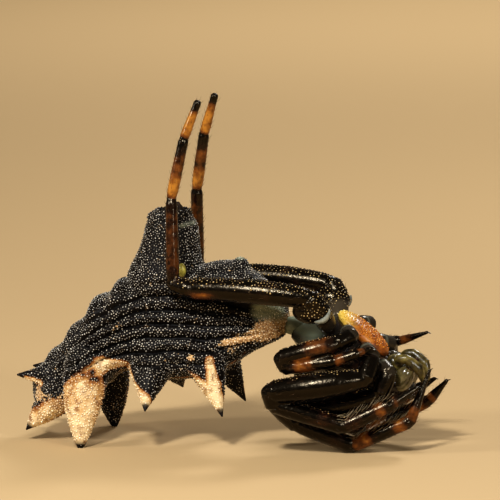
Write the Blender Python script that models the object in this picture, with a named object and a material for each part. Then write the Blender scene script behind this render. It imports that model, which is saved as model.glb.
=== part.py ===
import bpy
import bmesh
from math import cos, pi, radians, sin
from mathutils import Matrix, Vector
from mathutils.bvhtree import BVHTree

# Spined micrathena, adult female, life size, held belly up as it hangs on its web.
# Lengths are in millimetres here, and the finished meshes are brought to metres at the end.
# X points to the head, Y to the spider's right side and Z up, so its belly is uppermost.
METRE = 0.001
GAP = 0.07
FLOOR = 0.2

# Abdomen sections from rear to front: X, height of the back, height of the belly,
# half width near the back, half width near the belly
ABDOMEN_SECTIONS = (
    (-4.28, 1.30, 1.95, 0.42, 0.38),
    (-4.10, 0.98, 2.20, 0.80, 0.66),
    (-3.75, 0.84, 2.56, 1.14, 0.84),
    (-3.30, 0.92, 3.04, 1.38, 0.92),
    (-2.80, 1.20, 3.62, 1.54, 0.98),
    (-2.30, 1.68, 4.16, 1.60, 1.02),
    (-1.60, 2.20, 4.58, 1.54, 1.04),
    (-0.80, 2.02, 4.76, 1.42, 1.02),
    (0.00, 1.98, 4.95, 1.30, 0.98),
    (0.80, 2.12, 5.24, 1.16, 0.90),
    (1.40, 2.42, 5.28, 1.04, 0.80),
    (1.90, 2.76, 5.06, 0.90, 0.68),
    (2.40, 3.02, 4.70, 0.74, 0.54),
    (2.76, 3.20, 4.30, 0.56, 0.42),
    (2.94, 3.42, 4.00, 0.32, 0.26),
)
ABDOMEN_STEPS = 2
ABDOMEN_SIDES = 56
ABDOMEN_SQUARENESS = 2.7
FOLDS = 4
FOLD_DEPTH = 0.10
FOLD_REAR = -3.2
FOLD_FRONT = 2.2
FOLD_FADE = 0.9
# Share of the half width at which the flank starts, and over which the folds deepen
FLANK_START = 0.55
FLANK_FADE = 0.3

# Cone of the spinnerets, from inside the abdomen to its rim: X, Z, radius
CONE_RINGS = (
    (-0.56, 3.60, 1.02),
    (-0.54, 4.50, 1.08),
    (-0.50, 4.90, 1.04),
    (-0.44, 5.30, 0.91),
    (-0.39, 5.75, 0.80),
    (-0.36, 6.15, 0.73),
    (-0.34, 6.40, 0.66),
    (-0.33, 6.52, 0.52),
)
CRATER_RADIUS = 0.46
CRATER_FLOOR = 6.22

# Spines of the abdomen, a pair each: root, tip (X, distance from the middle, Z), radius at
# the root, how far the middle bulges, how full the spine stays before its point
SPINES = {
    "front": ((0.72, 0.70, 2.72), (1.40, 1.42, 1.16), 0.66, 0.00, 1.00),
    "middle": ((-0.74, 0.92, 2.46), (-0.60, 2.20, 1.36), 0.66, 0.02, 1.00),
    "large": ((-2.56, 1.00, 2.35), (-2.52, 1.92, 0.08), 0.62, 0.16, 2.00),
    "rear_low": ((-3.38, 0.70, 1.56), (-4.30, 1.04, 0.52), 0.58, 0.04, 1.35),
    "rear_high": ((-3.46, 0.52, 1.98), (-4.60, 0.86, 2.02), 0.42, 0.03, 1.10),
}
SPINE_RINGS = 6
SPINE_TIP = 0.03

# Leg joints from the body to the tip: X, distance from the middle, Z, radius. They stand for
# the root, trochanter, base of the femur, its middle, knee, end of the patella, end of the
# tibia, end of the metatarsus and tip of the tarsus
LEG_1 = (
    (5.70, 0.66, 2.66, 0.22),
    (6.00, 0.98, 2.44, 0.27),
    (5.80, 1.12, 1.90, 0.27),
    (4.40, 1.20, 1.44, 0.30),
    (2.98, 1.28, 1.38, 0.27),
    (3.48, 1.30, 1.00, 0.27),
    (5.00, 1.06, 0.39, 0.27),
    (6.60, 0.84, 1.10, 0.24),
    (7.06, 0.50, 2.50, 0.06),
)
LEG_2 = (
    (5.30, 0.74, 3.10, 0.22),
    (5.56, 1.20, 2.90, 0.28),
    (5.46, 1.62, 2.36, 0.30),
    (4.20, 2.02, 2.16, 0.34),
    (2.92, 2.02, 1.96, 0.30),
    (3.00, 1.98, 1.60, 0.27),
    (4.90, 1.66, 1.02, 0.26),
    (6.14, 1.28, 1.62, 0.24),
    (6.80, 0.98, 2.06, 0.07),
)
LEG_3 = (
    (4.80, 0.80, 3.56, 0.22),
    (4.98, 1.22, 3.46, 0.26),
    (4.70, 1.50, 3.30, 0.25),
    (3.90, 1.74, 3.08, 0.27),
    (3.16, 1.80, 2.88, 0.25),
    (3.30, 1.84, 2.62, 0.24),
    (4.64, 1.72, 2.82, 0.22),
    (5.26, 1.60, 3.06, 0.20),
    (5.62, 1.40, 3.20, 0.07),
)
LEG_4 = (
    (4.24, 0.70, 3.66, 0.27),
    (4.12, 1.28, 4.20, 0.33),
    (3.90, 1.42, 4.50, 0.31),
    (2.10, 1.52, 4.66, 0.31),
    (0.46, 1.52, 4.68, 0.28),
    (0.02, 1.46, 4.80, 0.26),
    (-0.10, 1.14, 7.14, 0.26),
    (0.22, 0.95, 8.80, 0.24),
    (0.58, 0.84, 9.86, 0.12),
)
# The long swollen trochanter of the hind leg
TROCHANTER_4 = ((3.90, 1.24, 4.13), (0.53, 0.34, 0.34))
# On the right the third leg reaches out, and the others end a little off
LEG_3_RIGHT_END = (
    (4.64, 1.76, 2.82, 0.22),
    (5.76, 1.92, 2.92, 0.20),
    (6.58, 1.66, 3.24, 0.07),
)
LEG_2_RIGHT_END = (
    (5.26, 1.62, 0.92, 0.26),
    (6.26, 1.44, 1.60, 0.24),
    (6.88, 1.12, 2.04, 0.07),
)
LEG_1_RIGHT_END = (
    (5.00, 1.06, 0.39, 0.27),
    (6.78, 1.00, 1.42, 0.24),
    (7.28, 0.94, 2.00, 0.06),
)
LEG_4_RIGHT_END = (
    (0.06, 1.20, 7.14, 0.26),
    (0.32, 1.02, 8.74, 0.24),
    (0.66, 0.88, 9.88, 0.12),
)
RIGHT_ENDS = {1: LEG_1_RIGHT_END, 2: LEG_2_RIGHT_END, 3: LEG_3_RIGHT_END, 4: LEG_4_RIGHT_END}
# Share of its radius by which a segment reaches into its neighbour
SEGMENT_REACH = 0.45
# Shape of one leg segment along its length: share of the length, share of the radius
SEGMENT_SHAPE = ((0.0, 0.62), (0.07, 0.88), (0.30, 1.0), (0.70, 1.0), (0.93, 0.88), (1.0, 0.62))
TIP_SHAPE = ((0.0, 0.70), (0.10, 0.95), (0.45, 1.0), (0.80, 1.0), (1.0, 1.0))
LEG_ROUNDNESS = 2
LIGHT_ROUNDNESS = 3
BASE_ROUNDNESS = 6
CONE_ROUNDNESS = 8
# Segments and rings of the smaller and the finer ball shapes
SMALL_BALL = (10, 6)
FINE_BALL = (16, 10)
FLOOR_CUTTER = 20.0

# Cephalothorax: its axis from the rear to the face, and its sections along that axis:
# place, height of the belly side, depth of the carapace side, half width
HEAD_REAR = Vector((3.20, 0.0, 3.38))
HEAD_FRONT = Vector((6.58, 0.0, 1.86))
HEAD_SECTIONS = (
    (0.00, 0.24, 0.22, 0.24),
    (0.16, 0.36, 0.34, 0.40),
    (0.50, 0.62, 0.60, 0.74),
    (0.95, 0.92, 0.80, 1.00),
    (1.50, 0.86, 0.86, 1.04),
    (2.10, 0.66, 0.80, 0.92),
    (2.60, 0.46, 0.70, 0.74),
    (3.10, 0.28, 0.60, 0.60),
    (3.48, 0.16, 0.46, 0.48),
    (3.66, 0.06, 0.26, 0.28),
)
HEAD_STEPS = 2
HEAD_SIDES = 24

# Rounded pieces: centre, half length along the head's axis, half width, half height
PEDICEL = ((3.10, 0.0, 3.54), (0.30, 0.26, 0.26))
STERNUM = ((5.10, 0.0, 3.38), (0.92, 0.54, 0.22))
STERNUM_SLOPE = radians(40)
CHELICERA = ((6.30, 0.34, 2.21), (0.25, 0.26, 0.41))
CHELICERA_SLOPE = radians(24)
ENDITE = ((6.03, 0.21, 2.63), (0.24, 0.21, 0.20))
LABIUM = ((5.99, 0.0, 2.63), (0.17, 0.20, 0.18))
EPIGYNUM = ((1.60, 0.0, 5.14), (0.26, 0.24, 0.28))
SIDE_TUBERCLE = ((0.14, 0.88, 5.12), (0.17, 0.16, 0.17))
ANAL_TUBERCLE = ((-0.90, 0.0, 6.46), (0.17, 0.20, 0.18))
LUNG_PLATE = ((1.84, 0.56, 4.26), (0.62, 0.20, 0.26))

# Palp joints: X, distance from the middle, Z, radius
PALP = (
    (6.16, 0.52, 2.78, 0.13),
    (6.44, 0.52, 2.80, 0.15),
    (6.78, 0.46, 2.50, 0.15),
    (6.88, 0.34, 2.12, 0.06),
)

# Spinnerets in the crater: distance from the middle along X and Y, radius, height
SPINNERETS = (
    (0.17, 0.17, 0.17, 0.50),
    (0.17, -0.17, 0.17, 0.50),
    (-0.18, 0.15, 0.16, 0.44),
    (-0.18, -0.15, 0.16, 0.44),
)
SPINNERET_BASE = 0.36
SPINNERET_BASE_HEIGHT = 0.16
SPINNERET_FOOT = 0.05
SPINNERET_LEAN = 0.35

# Eyes: direction from the middle of the head as forward, sideways and towards the back,
# and radius
EYES = {
    "front_middle": (0.95, 0.24, 0.10, 0.075),
    "rear_middle": (0.80, 0.30, 0.52, 0.085),
    "front_side": (0.56, 0.70, 0.46, 0.060),
    "rear_side": (0.30, 0.78, 0.58, 0.060),
}
EYE_CENTRE = 3.02
EYE_DEPTH = 0.15
EYE_SUNK = 0.35
EYE_GAP = 0.035

COLOURS = {
    "abdomen": ((0.020, 0.016, 0.013), 0.35),
    "cephalothorax": ((0.060, 0.045, 0.030), 0.25),
    "sternum": ((0.640, 0.290, 0.050), 0.35),
    "leg": ((0.028, 0.014, 0.008), 0.22),
    "palp": ((0.380, 0.300, 0.090), 0.35),
    "mouth": ((0.420, 0.340, 0.110), 0.40),
    "chelicera": ((0.090, 0.090, 0.080), 0.15),
    "pedicel": ((0.330, 0.380, 0.280), 0.45),
    "spinnerets": ((0.030, 0.022, 0.018), 0.40),
    "eye": ((0.010, 0.008, 0.006), 0.05),
}


def material(kind):
    colour, roughness = COLOURS[kind]
    finish = bpy.data.materials.new(kind)
    finish.use_nodes = True
    shader = finish.node_tree.nodes["Principled BSDF"]
    shader.inputs["Base Color"].default_value = (*colour, 1.0)
    shader.inputs["Roughness"].default_value = roughness
    shader.inputs["Metallic"].default_value = 0.0
    return finish


def new_object(name, mesh):
    piece = bpy.data.objects.new(name, mesh)
    bpy.context.scene.collection.objects.link(piece)
    return piece


def evaluated_mesh(piece):
    bpy.context.view_layer.update()
    graph = bpy.context.evaluated_depsgraph_get()
    return bpy.data.meshes.new_from_object(piece.evaluated_get(graph))


def remove(piece):
    bpy.data.objects.remove(piece, do_unlink=True)


def sided(place, side):
    """Turns a distance from the middle into a place on the left (-1) or right (+1)."""
    return Vector((place[0], side * place[1], place[2]))


def along_rows(rows, place):
    """Reads a smooth curve through the rows at a place counted in rows."""
    index = min(int(place), len(rows) - 2)
    share = place - index
    before = rows[max(index - 1, 0)]
    start = rows[index]
    end = rows[index + 1]
    after = rows[min(index + 2, len(rows) - 1)]
    values = []
    for a, b, c, d in zip(before, start, end, after):
        slope_in = (c - a) / 2
        slope_out = (d - b) / 2
        cubic = 2 * b - 2 * c + slope_in + slope_out
        square = 3 * c - 3 * b - 2 * slope_in - slope_out
        values.append(((cubic * share + square) * share + slope_in) * share + b)
    return values


def loft(name, rings):
    """Closes a row of rings of equal count into one body, with a fan at each end."""
    shape = bmesh.new()
    loops = [[shape.verts.new(point) for point in ring] for ring in rings]
    count = len(loops[0])
    for lower, upper in zip(loops, loops[1:]):
        for i in range(count):
            j = (i + 1) % count
            shape.faces.new((lower[i], lower[j], upper[j], upper[i]))
    for ring in (loops[0], loops[-1]):
        middle = sum((vert.co for vert in ring), Vector()) / count
        pole = shape.verts.new(middle)
        for i in range(count):
            shape.faces.new((ring[i], ring[(i + 1) % count], pole))
    bmesh.ops.recalc_face_normals(shape, faces=shape.faces)
    bmesh.ops.triangulate(shape, faces=shape.faces)
    mesh = bpy.data.meshes.new(name)
    shape.to_mesh(mesh)
    shape.free()
    return new_object(name, mesh)


def tube(name, points, radii, roundness=LEG_ROUNDNESS):
    """Makes a tapered tube along the points, with a radius at each."""
    shape = bpy.data.curves.new(name, "CURVE")
    shape.dimensions = "3D"
    shape.bevel_depth = 1.0
    shape.bevel_resolution = roundness
    shape.use_fill_caps = True
    line = shape.splines.new("POLY")
    line.points.add(len(points) - 1)
    for point, place, radius in zip(line.points, points, radii):
        point.co = (*place, 1.0)
        point.radius = radius
    guide = new_object(name, shape)
    mesh = evaluated_mesh(guide)
    remove(guide)
    body = bmesh.new()
    body.from_mesh(mesh)
    bmesh.ops.remove_doubles(body, verts=body.verts, dist=1e-5)
    bmesh.ops.recalc_face_normals(body, faces=body.faces)
    bmesh.ops.triangulate(body, faces=body.faces)
    body.to_mesh(mesh)
    body.free()
    return new_object(name, mesh)


def rounded(name, centre, half_sizes, slope=0.0, segments=12, rings=8):
    """Makes an ellipsoid whose length lies along the head's axis when slope is set."""
    shape = bmesh.new()
    bmesh.ops.create_uvsphere(shape, u_segments=segments, v_segments=rings, radius=1.0)
    turn = Matrix.Rotation(slope, 4, "Y")
    size = Matrix.Diagonal((*half_sizes, 1.0))
    bmesh.ops.transform(shape, matrix=Matrix.Translation(centre) @ turn @ size, verts=shape.verts)
    bmesh.ops.triangulate(shape, faces=shape.faces)
    mesh = bpy.data.meshes.new(name)
    shape.to_mesh(mesh)
    shape.free()
    return new_object(name, mesh)


def grown(half_sizes, gap=GAP):
    return [size + gap for size in half_sizes]


def largest_body(mesh):
    """Keeps the largest closed surface of the mesh and drops every other."""
    shape = bmesh.new()
    shape.from_mesh(mesh)
    unseen = set(shape.verts)
    bodies = []
    while unseen:
        front = [unseen.pop()]
        body = set(front)
        while front:
            vert = front.pop()
            for edge in vert.link_edges:
                other = edge.other_vert(vert)
                if other in unseen:
                    unseen.discard(other)
                    body.add(other)
                    front.append(other)
        bodies.append(body)

    def spread(body):
        low = [min(vert.co[axis] for vert in body) for axis in range(3)]
        high = [max(vert.co[axis] for vert in body) for axis in range(3)]
        return (Vector(high) - Vector(low)).length

    bodies.sort(key=spread, reverse=True)
    loose = [vert for body in bodies[1:] for vert in body]
    bmesh.ops.delete(shape, geom=loose, context="VERTS")
    bmesh.ops.dissolve_degenerate(shape, edges=shape.edges, dist=1e-4)
    bmesh.ops.triangulate(shape, faces=shape.faces)
    shape.to_mesh(mesh)
    shape.free()


def combined(piece, others, operation):
    """Joins the others to the piece, or cuts them from it, and removes them."""
    held = bpy.data.collections.new(piece.name + "_others")
    bpy.context.scene.collection.children.link(held)
    for other in others:
        held.objects.link(other)
    joint = piece.modifiers.new(operation.lower(), "BOOLEAN")
    joint.operation = operation
    joint.operand_type = "COLLECTION"
    joint.collection = held
    joint.solver = "EXACT"
    mesh = evaluated_mesh(piece)
    piece.modifiers.remove(joint)
    for other in others:
        remove(other)
    bpy.data.collections.remove(held)
    largest_body(mesh)
    piece.data = mesh
    return piece


def fused(name, pieces):
    body = combined(pieces[0], pieces[1:], "UNION")
    body.name = name
    return body


def cut(piece, cutters):
    return combined(piece, cutters, "DIFFERENCE")


def floor_cutter():
    place = (0, 0, FLOOR - FLOOR_CUTTER / 2)
    bpy.ops.mesh.primitive_cube_add(size=FLOOR_CUTTER, location=place)
    return bpy.context.object


def abdomen_ring(row):
    """One section of the abdomen, with the long folds pressed into its flanks."""
    place, back, belly, wide, narrow = row
    middle = (back + belly) / 2
    half = (belly - back) / 2
    lengthwise = min(place - FOLD_REAR, FOLD_FRONT - place) / FOLD_FADE
    lengthwise = max(0.0, min(1.0, lengthwise))
    ring = []
    for i in range(ABDOMEN_SIDES):
        angle = 2 * pi * i / ABDOMEN_SIDES
        p = ABDOMEN_SQUARENESS
        reach = (abs(cos(angle)) ** p + abs(sin(angle)) ** p) ** (-1 / p)
        up = reach * sin(angle)
        across = reach * cos(angle)
        share = (up + 1) / 2
        width = wide + (narrow - wide) * share
        flank = max(0.0, min(1.0, (abs(across) - FLANK_START) / FLANK_FADE))
        furrow = 0.5 - 0.5 * cos(2 * pi * FOLDS * share)
        width -= FOLD_DEPTH * furrow * flank * lengthwise
        ring.append((place, width * across, middle + half * up))
    return ring


def spine(name, side):
    """A spine from inside the abdomen out to its point, full at first and then pointed."""
    root, tip, radius, bulge, fullness = SPINES[name]
    start = sided(root, side)
    end = sided(tip, side)
    outward = Vector((0.0, side, 0.0))
    points = []
    radii = []
    for i in range(SPINE_RINGS + 1):
        share = i / SPINE_RINGS
        points.append(start.lerp(end, share) + outward * bulge * sin(pi * share))
        radii.append(SPINE_TIP + (radius - SPINE_TIP) * (1 - share ** fullness))
    return tube(f"spine_{name}", points, radii, 3)


def make_abdomen():
    rows = ABDOMEN_SECTIONS
    count = (len(rows) - 1) * ABDOMEN_STEPS
    places = [i / ABDOMEN_STEPS for i in range(count + 1)]
    body = loft("abdomen", [abdomen_ring(along_rows(rows, place)) for place in places])
    cone = tube(
        "cone",
        [(x, 0.0, z) for x, z, _ in CONE_RINGS],
        [radius for _, _, radius in CONE_RINGS],
        CONE_ROUNDNESS,
    )
    pieces = [body, cone]
    for side in (-1, 1):
        pieces += [spine(name, side) for name in SPINES]
        pieces.append(rounded("tubercle", sided(SIDE_TUBERCLE[0], side), SIDE_TUBERCLE[1]))
        pieces.append(rounded("plate", sided(LUNG_PLATE[0], side), LUNG_PLATE[1]))
    pieces.append(rounded("epigynum", *EPIGYNUM))
    pieces.append(rounded("anal_tubercle", *ANAL_TUBERCLE))
    abdomen = fused("abdomen", pieces)
    rim = CONE_RINGS[-1]
    crater = tube(
        "crater",
        [(rim[0], 0.0, CRATER_FLOOR), (rim[0], 0.0, rim[1] + 1.0)],
        [CRATER_RADIUS, CRATER_RADIUS],
        BASE_ROUNDNESS,
    )
    socket = rounded("socket", PEDICEL[0], grown(PEDICEL[1]))
    return cut(abdomen, [crater, socket, floor_cutter()])


def make_spinnerets():
    rim = CONE_RINGS[-1]
    base = CRATER_FLOOR + GAP
    pieces = [
        tube(
            "spinneret_base",
            [(rim[0], 0.0, base), (rim[0], 0.0, base + SPINNERET_BASE_HEIGHT)],
            [SPINNERET_BASE, SPINNERET_BASE * 0.94],
            BASE_ROUNDNESS,
        )
    ]
    for across, sideways, radius, height in SPINNERETS:
        foot = Vector((rim[0] + across, sideways, base + SPINNERET_FOOT))
        lean = Vector((-SPINNERET_LEAN * across, -SPINNERET_LEAN * sideways, height))
        points = [foot + lean * share for share in (0.0, 0.5, 0.8, 1.0)]
        radii = [radius, radius, radius * 0.8, radius * 0.4]
        pieces.append(tube("spinneret", points, radii, LIGHT_ROUNDNESS))
    return fused("spinnerets", pieces)


def segment(start, end, radius, end_radius, shape):
    """One leg segment, narrowed at both ends and reaching a little into its neighbours."""
    way = (end - start).normalized()
    first = start - way * (radius * SEGMENT_REACH)
    last = end + way * (end_radius * SEGMENT_REACH)
    points = [first.lerp(last, share) for share, _ in shape]
    radii = [(radius + (end_radius - radius) * share) * factor for share, factor in shape]
    return tube("segment", points, radii)


def leg_joints(number, side):
    joints = {1: LEG_1, 2: LEG_2, 3: LEG_3, 4: LEG_4}[number]
    if side > 0:
        joints = joints[:-3] + RIGHT_ENDS[number]
    return joints


def make_leg(name, number, side):
    joints = leg_joints(number, side)
    places = [sided(joint, side) for joint in joints]
    radii = [joint[3] for joint in joints]
    last = len(joints) - 2
    pieces = []
    for i in range(len(joints) - 1):
        shape = SEGMENT_SHAPE if i < last else TIP_SHAPE
        if i == 2:
            continue
        if i == 3:
            pieces.append(femur(places[2], places[3], places[4], radii[2:5]))
            continue
        pieces.append(segment(places[i], places[i + 1], radii[i], radii[i + 1], shape))
    if number == 4:
        pieces.append(rounded("trochanter", sided(TROCHANTER_4[0], side), TROCHANTER_4[1]))
    leg = fused(name, pieces)
    if number == 1:
        cut(leg, [floor_cutter()])
    return leg


def femur(start, middle, end, radii):
    """The femur, bowed through its middle, which is its thickest place."""
    points = []
    sizes = []
    for share, factor in SEGMENT_SHAPE:
        straight = start.lerp(end, share)
        bow = (middle - start.lerp(end, 0.5)) * 4 * share * (1 - share)
        points.append(straight + bow)
        thick = radii[0] + (radii[2] - radii[0]) * share
        thick += (radii[1] - (radii[0] + radii[2]) / 2) * 4 * share * (1 - share)
        sizes.append(thick * factor)
    way_in = (points[0] - points[1]).normalized() * (radii[0] * SEGMENT_REACH)
    way_out = (points[-1] - points[-2]).normalized() * (radii[2] * SEGMENT_REACH)
    points[0] += way_in
    points[-1] += way_out
    return tube("femur", points, sizes)


def head_axes():
    forward = (HEAD_FRONT - HEAD_REAR).normalized()
    belly = Vector((-forward.z, 0.0, forward.x))
    return forward, belly


def make_cephalothorax():
    forward, belly = head_axes()
    rings = []
    count = (len(HEAD_SECTIONS) - 1) * HEAD_STEPS
    for i in range(count + 1):
        place, height, depth, width = along_rows(HEAD_SECTIONS, i / HEAD_STEPS)
        centre = HEAD_REAR + forward * place
        ring = []
        for j in range(HEAD_SIDES):
            angle = 2 * pi * j / HEAD_SIDES
            up = sin(angle) * (height if sin(angle) > 0 else depth)
            ring.append(centre + belly * up + Vector((0.0, width * cos(angle), 0.0)))
        rings.append(ring)
    return loft("cephalothorax", rings)


def eye_places(body):
    """Places each pair of eyes on the surface of the head, found along their directions."""
    forward, belly = head_axes()
    tree = BVHTree.FromObject(body, bpy.context.evaluated_depsgraph_get())
    middle = HEAD_REAR + forward * EYE_CENTRE - belly * EYE_DEPTH
    places = {}
    for name, (ahead, sideways, back, radius) in EYES.items():
        for side, side_name in ((-1, "left"), (1, "right")):
            way = (forward * ahead + Vector((0.0, side * sideways, 0.0)) - belly * back).normalized()
            hit, _, _, _ = tree.ray_cast(middle + way * 3.0, -way)
            places[f"eye_{name}_{side_name}"] = (hit - way * radius * EYE_SUNK, radius)
    return places


def root_cutters():
    """Sockets that the roots of the legs sit in, each a little larger than the root."""
    cutters = []
    for number in (1, 2, 3, 4):
        for side in (-1, 1):
            joints = leg_joints(number, side)
            start = sided(joints[0], side)
            end = sided(joints[1], side)
            way = (end - start).normalized()
            radius = max(joints[0][3], joints[1][3]) + GAP
            back = start - way * (radius * SEGMENT_REACH + GAP)
            points = [back, start, end, end + way * radius]
            radii = [radius * 0.8, radius, radius, radius * 0.7]
            cutters.append(tube("socket", points, radii, LIGHT_ROUNDNESS))
    return cutters


def to_metres(piece, kind, shift):
    """Moves the piece to the model's own origin, in metres, with its faces ready to use."""
    piece.data.transform(Matrix.Scale(METRE, 4) @ Matrix.Translation(shift))
    piece.data.materials.clear()
    piece.data.materials.append(material(kind))
    piece.data.shade_smooth()
    piece.data.set_sharp_from_angle(angle=radians(50))


def main():
    for old in list(bpy.data.objects):
        remove(old)
    kinds = {}
    head = make_cephalothorax()
    eyes = eye_places(head)
    sockets = []
    for place, radius in eyes.values():
        sockets.append(rounded("socket", place, [radius + EYE_GAP] * 3, 0.0, *SMALL_BALL))
    sockets += root_cutters()
    sockets.append(rounded("socket", STERNUM[0], grown(STERNUM[1]), STERNUM_SLOPE, *FINE_BALL))
    sockets.append(rounded("socket", PEDICEL[0], grown(PEDICEL[1])))
    for side in (-1, 1):
        sockets.append(rounded("socket", sided(CHELICERA[0], side), grown(CHELICERA[1]), CHELICERA_SLOPE))
        sockets.append(rounded("socket", sided(ENDITE[0], side), grown(ENDITE[1]), STERNUM_SLOPE))
    sockets.append(rounded("socket", LABIUM[0], grown(LABIUM[1]), STERNUM_SLOPE))
    head = cut(head, sockets)
    head.name = "cephalothorax"
    kinds[head] = "cephalothorax"
    for name, (place, radius) in eyes.items():
        kinds[rounded(name, place, [radius] * 3, 0.0, *SMALL_BALL)] = "eye"
    kinds[make_abdomen()] = "abdomen"
    kinds[make_spinnerets()] = "spinnerets"
    kinds[rounded("pedicel", *PEDICEL)] = "pedicel"
    kinds[rounded("sternum", *STERNUM, STERNUM_SLOPE, *FINE_BALL)] = "sternum"
    mouth = [rounded("endite", sided(ENDITE[0], side), ENDITE[1], STERNUM_SLOPE) for side in (-1, 1)]
    mouth.append(rounded("labium", *LABIUM, STERNUM_SLOPE))
    kinds[fused("mouthparts", mouth)] = "mouth"
    for side, side_name in ((-1, "left"), (1, "right")):
        centre = sided(CHELICERA[0], side)
        kinds[rounded(f"chelicera_{side_name}", centre, CHELICERA[1], CHELICERA_SLOPE)] = "chelicera"
        places = [sided(joint, side) for joint in PALP]
        parts = []
        for i in range(len(PALP) - 1):
            parts.append(
                segment(places[i], places[i + 1], PALP[i][3], PALP[i + 1][3], SEGMENT_SHAPE)
            )
        kinds[fused(f"palp_{side_name}", parts)] = "palp"
        for number in (1, 2, 3, 4):
            kinds[make_leg(f"leg_{side_name}_{number}", number, side)] = "leg"
    corners = [vert.co for piece in kinds for vert in piece.data.vertices]
    low = Vector([min(corner[axis] for corner in corners) for axis in range(3)])
    high = Vector([max(corner[axis] for corner in corners) for axis in range(3)])
    shift = Vector((-(low.x + high.x) / 2, -(low.y + high.y) / 2, -low.z))
    model = bpy.data.collections.new("spined_micrathena")
    bpy.context.scene.collection.children.link(model)
    for piece, kind in kinds.items():
        to_metres(piece, kind, shift)
        bpy.context.scene.collection.objects.unlink(piece)
        model.objects.link(piece)
    print("origin", shift, "size", high - low)


main()
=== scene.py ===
import math
from functools import partial
import bpy
import bmesh
import numpy as np
from mathutils import Matrix, Vector


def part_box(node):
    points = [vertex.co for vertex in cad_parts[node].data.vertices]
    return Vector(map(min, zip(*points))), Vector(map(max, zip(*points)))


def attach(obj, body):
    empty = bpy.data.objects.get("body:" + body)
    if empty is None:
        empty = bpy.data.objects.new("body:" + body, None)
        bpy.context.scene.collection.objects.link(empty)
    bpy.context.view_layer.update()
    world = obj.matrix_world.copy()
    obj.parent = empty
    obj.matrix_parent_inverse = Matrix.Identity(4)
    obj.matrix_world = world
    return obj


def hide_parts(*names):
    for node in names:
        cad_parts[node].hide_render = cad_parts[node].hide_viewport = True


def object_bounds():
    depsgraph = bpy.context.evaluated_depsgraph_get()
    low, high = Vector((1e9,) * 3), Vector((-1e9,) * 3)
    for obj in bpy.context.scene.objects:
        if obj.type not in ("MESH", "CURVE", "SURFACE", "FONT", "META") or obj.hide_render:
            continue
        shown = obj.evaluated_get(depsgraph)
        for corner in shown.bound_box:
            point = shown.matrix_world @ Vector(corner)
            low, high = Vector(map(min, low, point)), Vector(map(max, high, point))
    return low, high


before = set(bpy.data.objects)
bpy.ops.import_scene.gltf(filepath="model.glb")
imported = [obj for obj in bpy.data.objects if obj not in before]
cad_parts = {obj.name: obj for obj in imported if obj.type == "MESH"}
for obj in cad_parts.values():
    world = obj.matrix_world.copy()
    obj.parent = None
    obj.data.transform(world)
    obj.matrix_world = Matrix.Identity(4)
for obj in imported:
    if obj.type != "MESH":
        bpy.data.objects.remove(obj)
cadLow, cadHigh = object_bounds()

# the shapes are drawn in millimetres from the spider's own middle, belly up, head towards +X
drawing = {"millimetre": 0.001, "pedicelMiddle": (3.1, 0.0, 3.54), "floor": 0.2}
pedicelLow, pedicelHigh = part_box("pedicel")
drawingShift = (pedicelLow + pedicelHigh) / 2 / drawing["millimetre"] - Vector(drawing["pedicelMiddle"])
toModel = Matrix.Scale(drawing["millimetre"], 4) @ Matrix.Translation(drawingShift)
bothSides = ((-1, "left"), (1, "right"))
crossways = Vector((0, 1, 0))


# plain helpers

def hexToLinear(code):
    values = [int(code[i:i + 2], 16) / 255 for i in (1, 3, 5)]
    return tuple([v / 12.92 if v <= 0.04045 else ((v + 0.055) / 1.055) ** 2.4 for v in values] + [1.0])


def setInputs(node, inputs):
    for name, value in inputs.items():
        if isinstance(value, bpy.types.NodeSocket):
            node.id_data.links.new(value, node.inputs[name])
        elif isinstance(value, str) and value.startswith("#"):
            node.inputs[name].default_value = hexToLinear(value)
        else:
            node.inputs[name].default_value = value


def addNode(tree, kind, inputs=None, stops=(), out=None, **settings):
    # gives back the named output, or else the first one in use
    node = tree.nodes.new(kind)
    for name, value in settings.items():
        setattr(node, name, value)
    setInputs(node, inputs or {})
    for i, (place, code) in enumerate(stops):
        elements = node.color_ramp.elements
        element = elements[i] if i < len(elements) else elements.new(place)
        element.position = place
        element.color = hexToLinear(code)
    return node.outputs[out] if out else next((socket for socket in node.outputs if socket.enabled), None)


def newObject(name, data):
    piece = bpy.data.objects.new(name, data)
    bpy.context.scene.collection.objects.link(piece)
    return piece


def fromShape(name, shape):
    mesh = bpy.data.meshes.new(name)
    shape.to_mesh(mesh)
    shape.free()
    return newObject(name, mesh)


def evaluatedMesh(piece):
    bpy.context.view_layer.update()
    graph = bpy.context.evaluated_depsgraph_get()
    return bpy.data.meshes.new_from_object(piece.evaluated_get(graph))


def removePiece(piece):
    mesh = piece.data
    bpy.data.objects.remove(piece, do_unlink=True)
    bpy.data.meshes.remove(mesh)


def applyModifiers(piece):
    mesh = evaluatedMesh(piece)
    piece.modifiers.clear()
    piece.data = mesh
    return piece


def united(name, pieces):
    held = bpy.data.collections.new(name + "Pieces")
    bpy.context.scene.collection.children.link(held)
    first = pieces[0]
    for other in pieces[1:]:
        bpy.context.scene.collection.objects.unlink(other)
        held.objects.link(other)
    union = first.modifiers.new("union", "BOOLEAN")
    union.operation = "UNION"
    union.operand_type = "COLLECTION"
    union.collection = held
    union.solver = "EXACT"
    applyModifiers(first)
    for other in pieces[1:]:
        removePiece(other)
    bpy.data.collections.remove(held)
    return first


def remeshed(piece, values):
    remesh = piece.modifiers.new("remesh", "REMESH")
    remesh.mode = "VOXEL"
    remesh.voxel_size = values["voxel"]
    smooth = piece.modifiers.new("smooth", "SMOOTH")
    smooth.factor = 0.5
    smooth.iterations = values["smoothing"]
    return applyModifiers(piece)


def sided(place, side):
    return Vector((place[0], side * place[1], place[2]))


def coordinates(mesh, kind="co"):
    values = np.empty(len(mesh.vertices) * 3, dtype=np.float32)
    mesh.vertices.foreach_get(kind, values)
    return values.reshape(-1, 3).astype(float)


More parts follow.
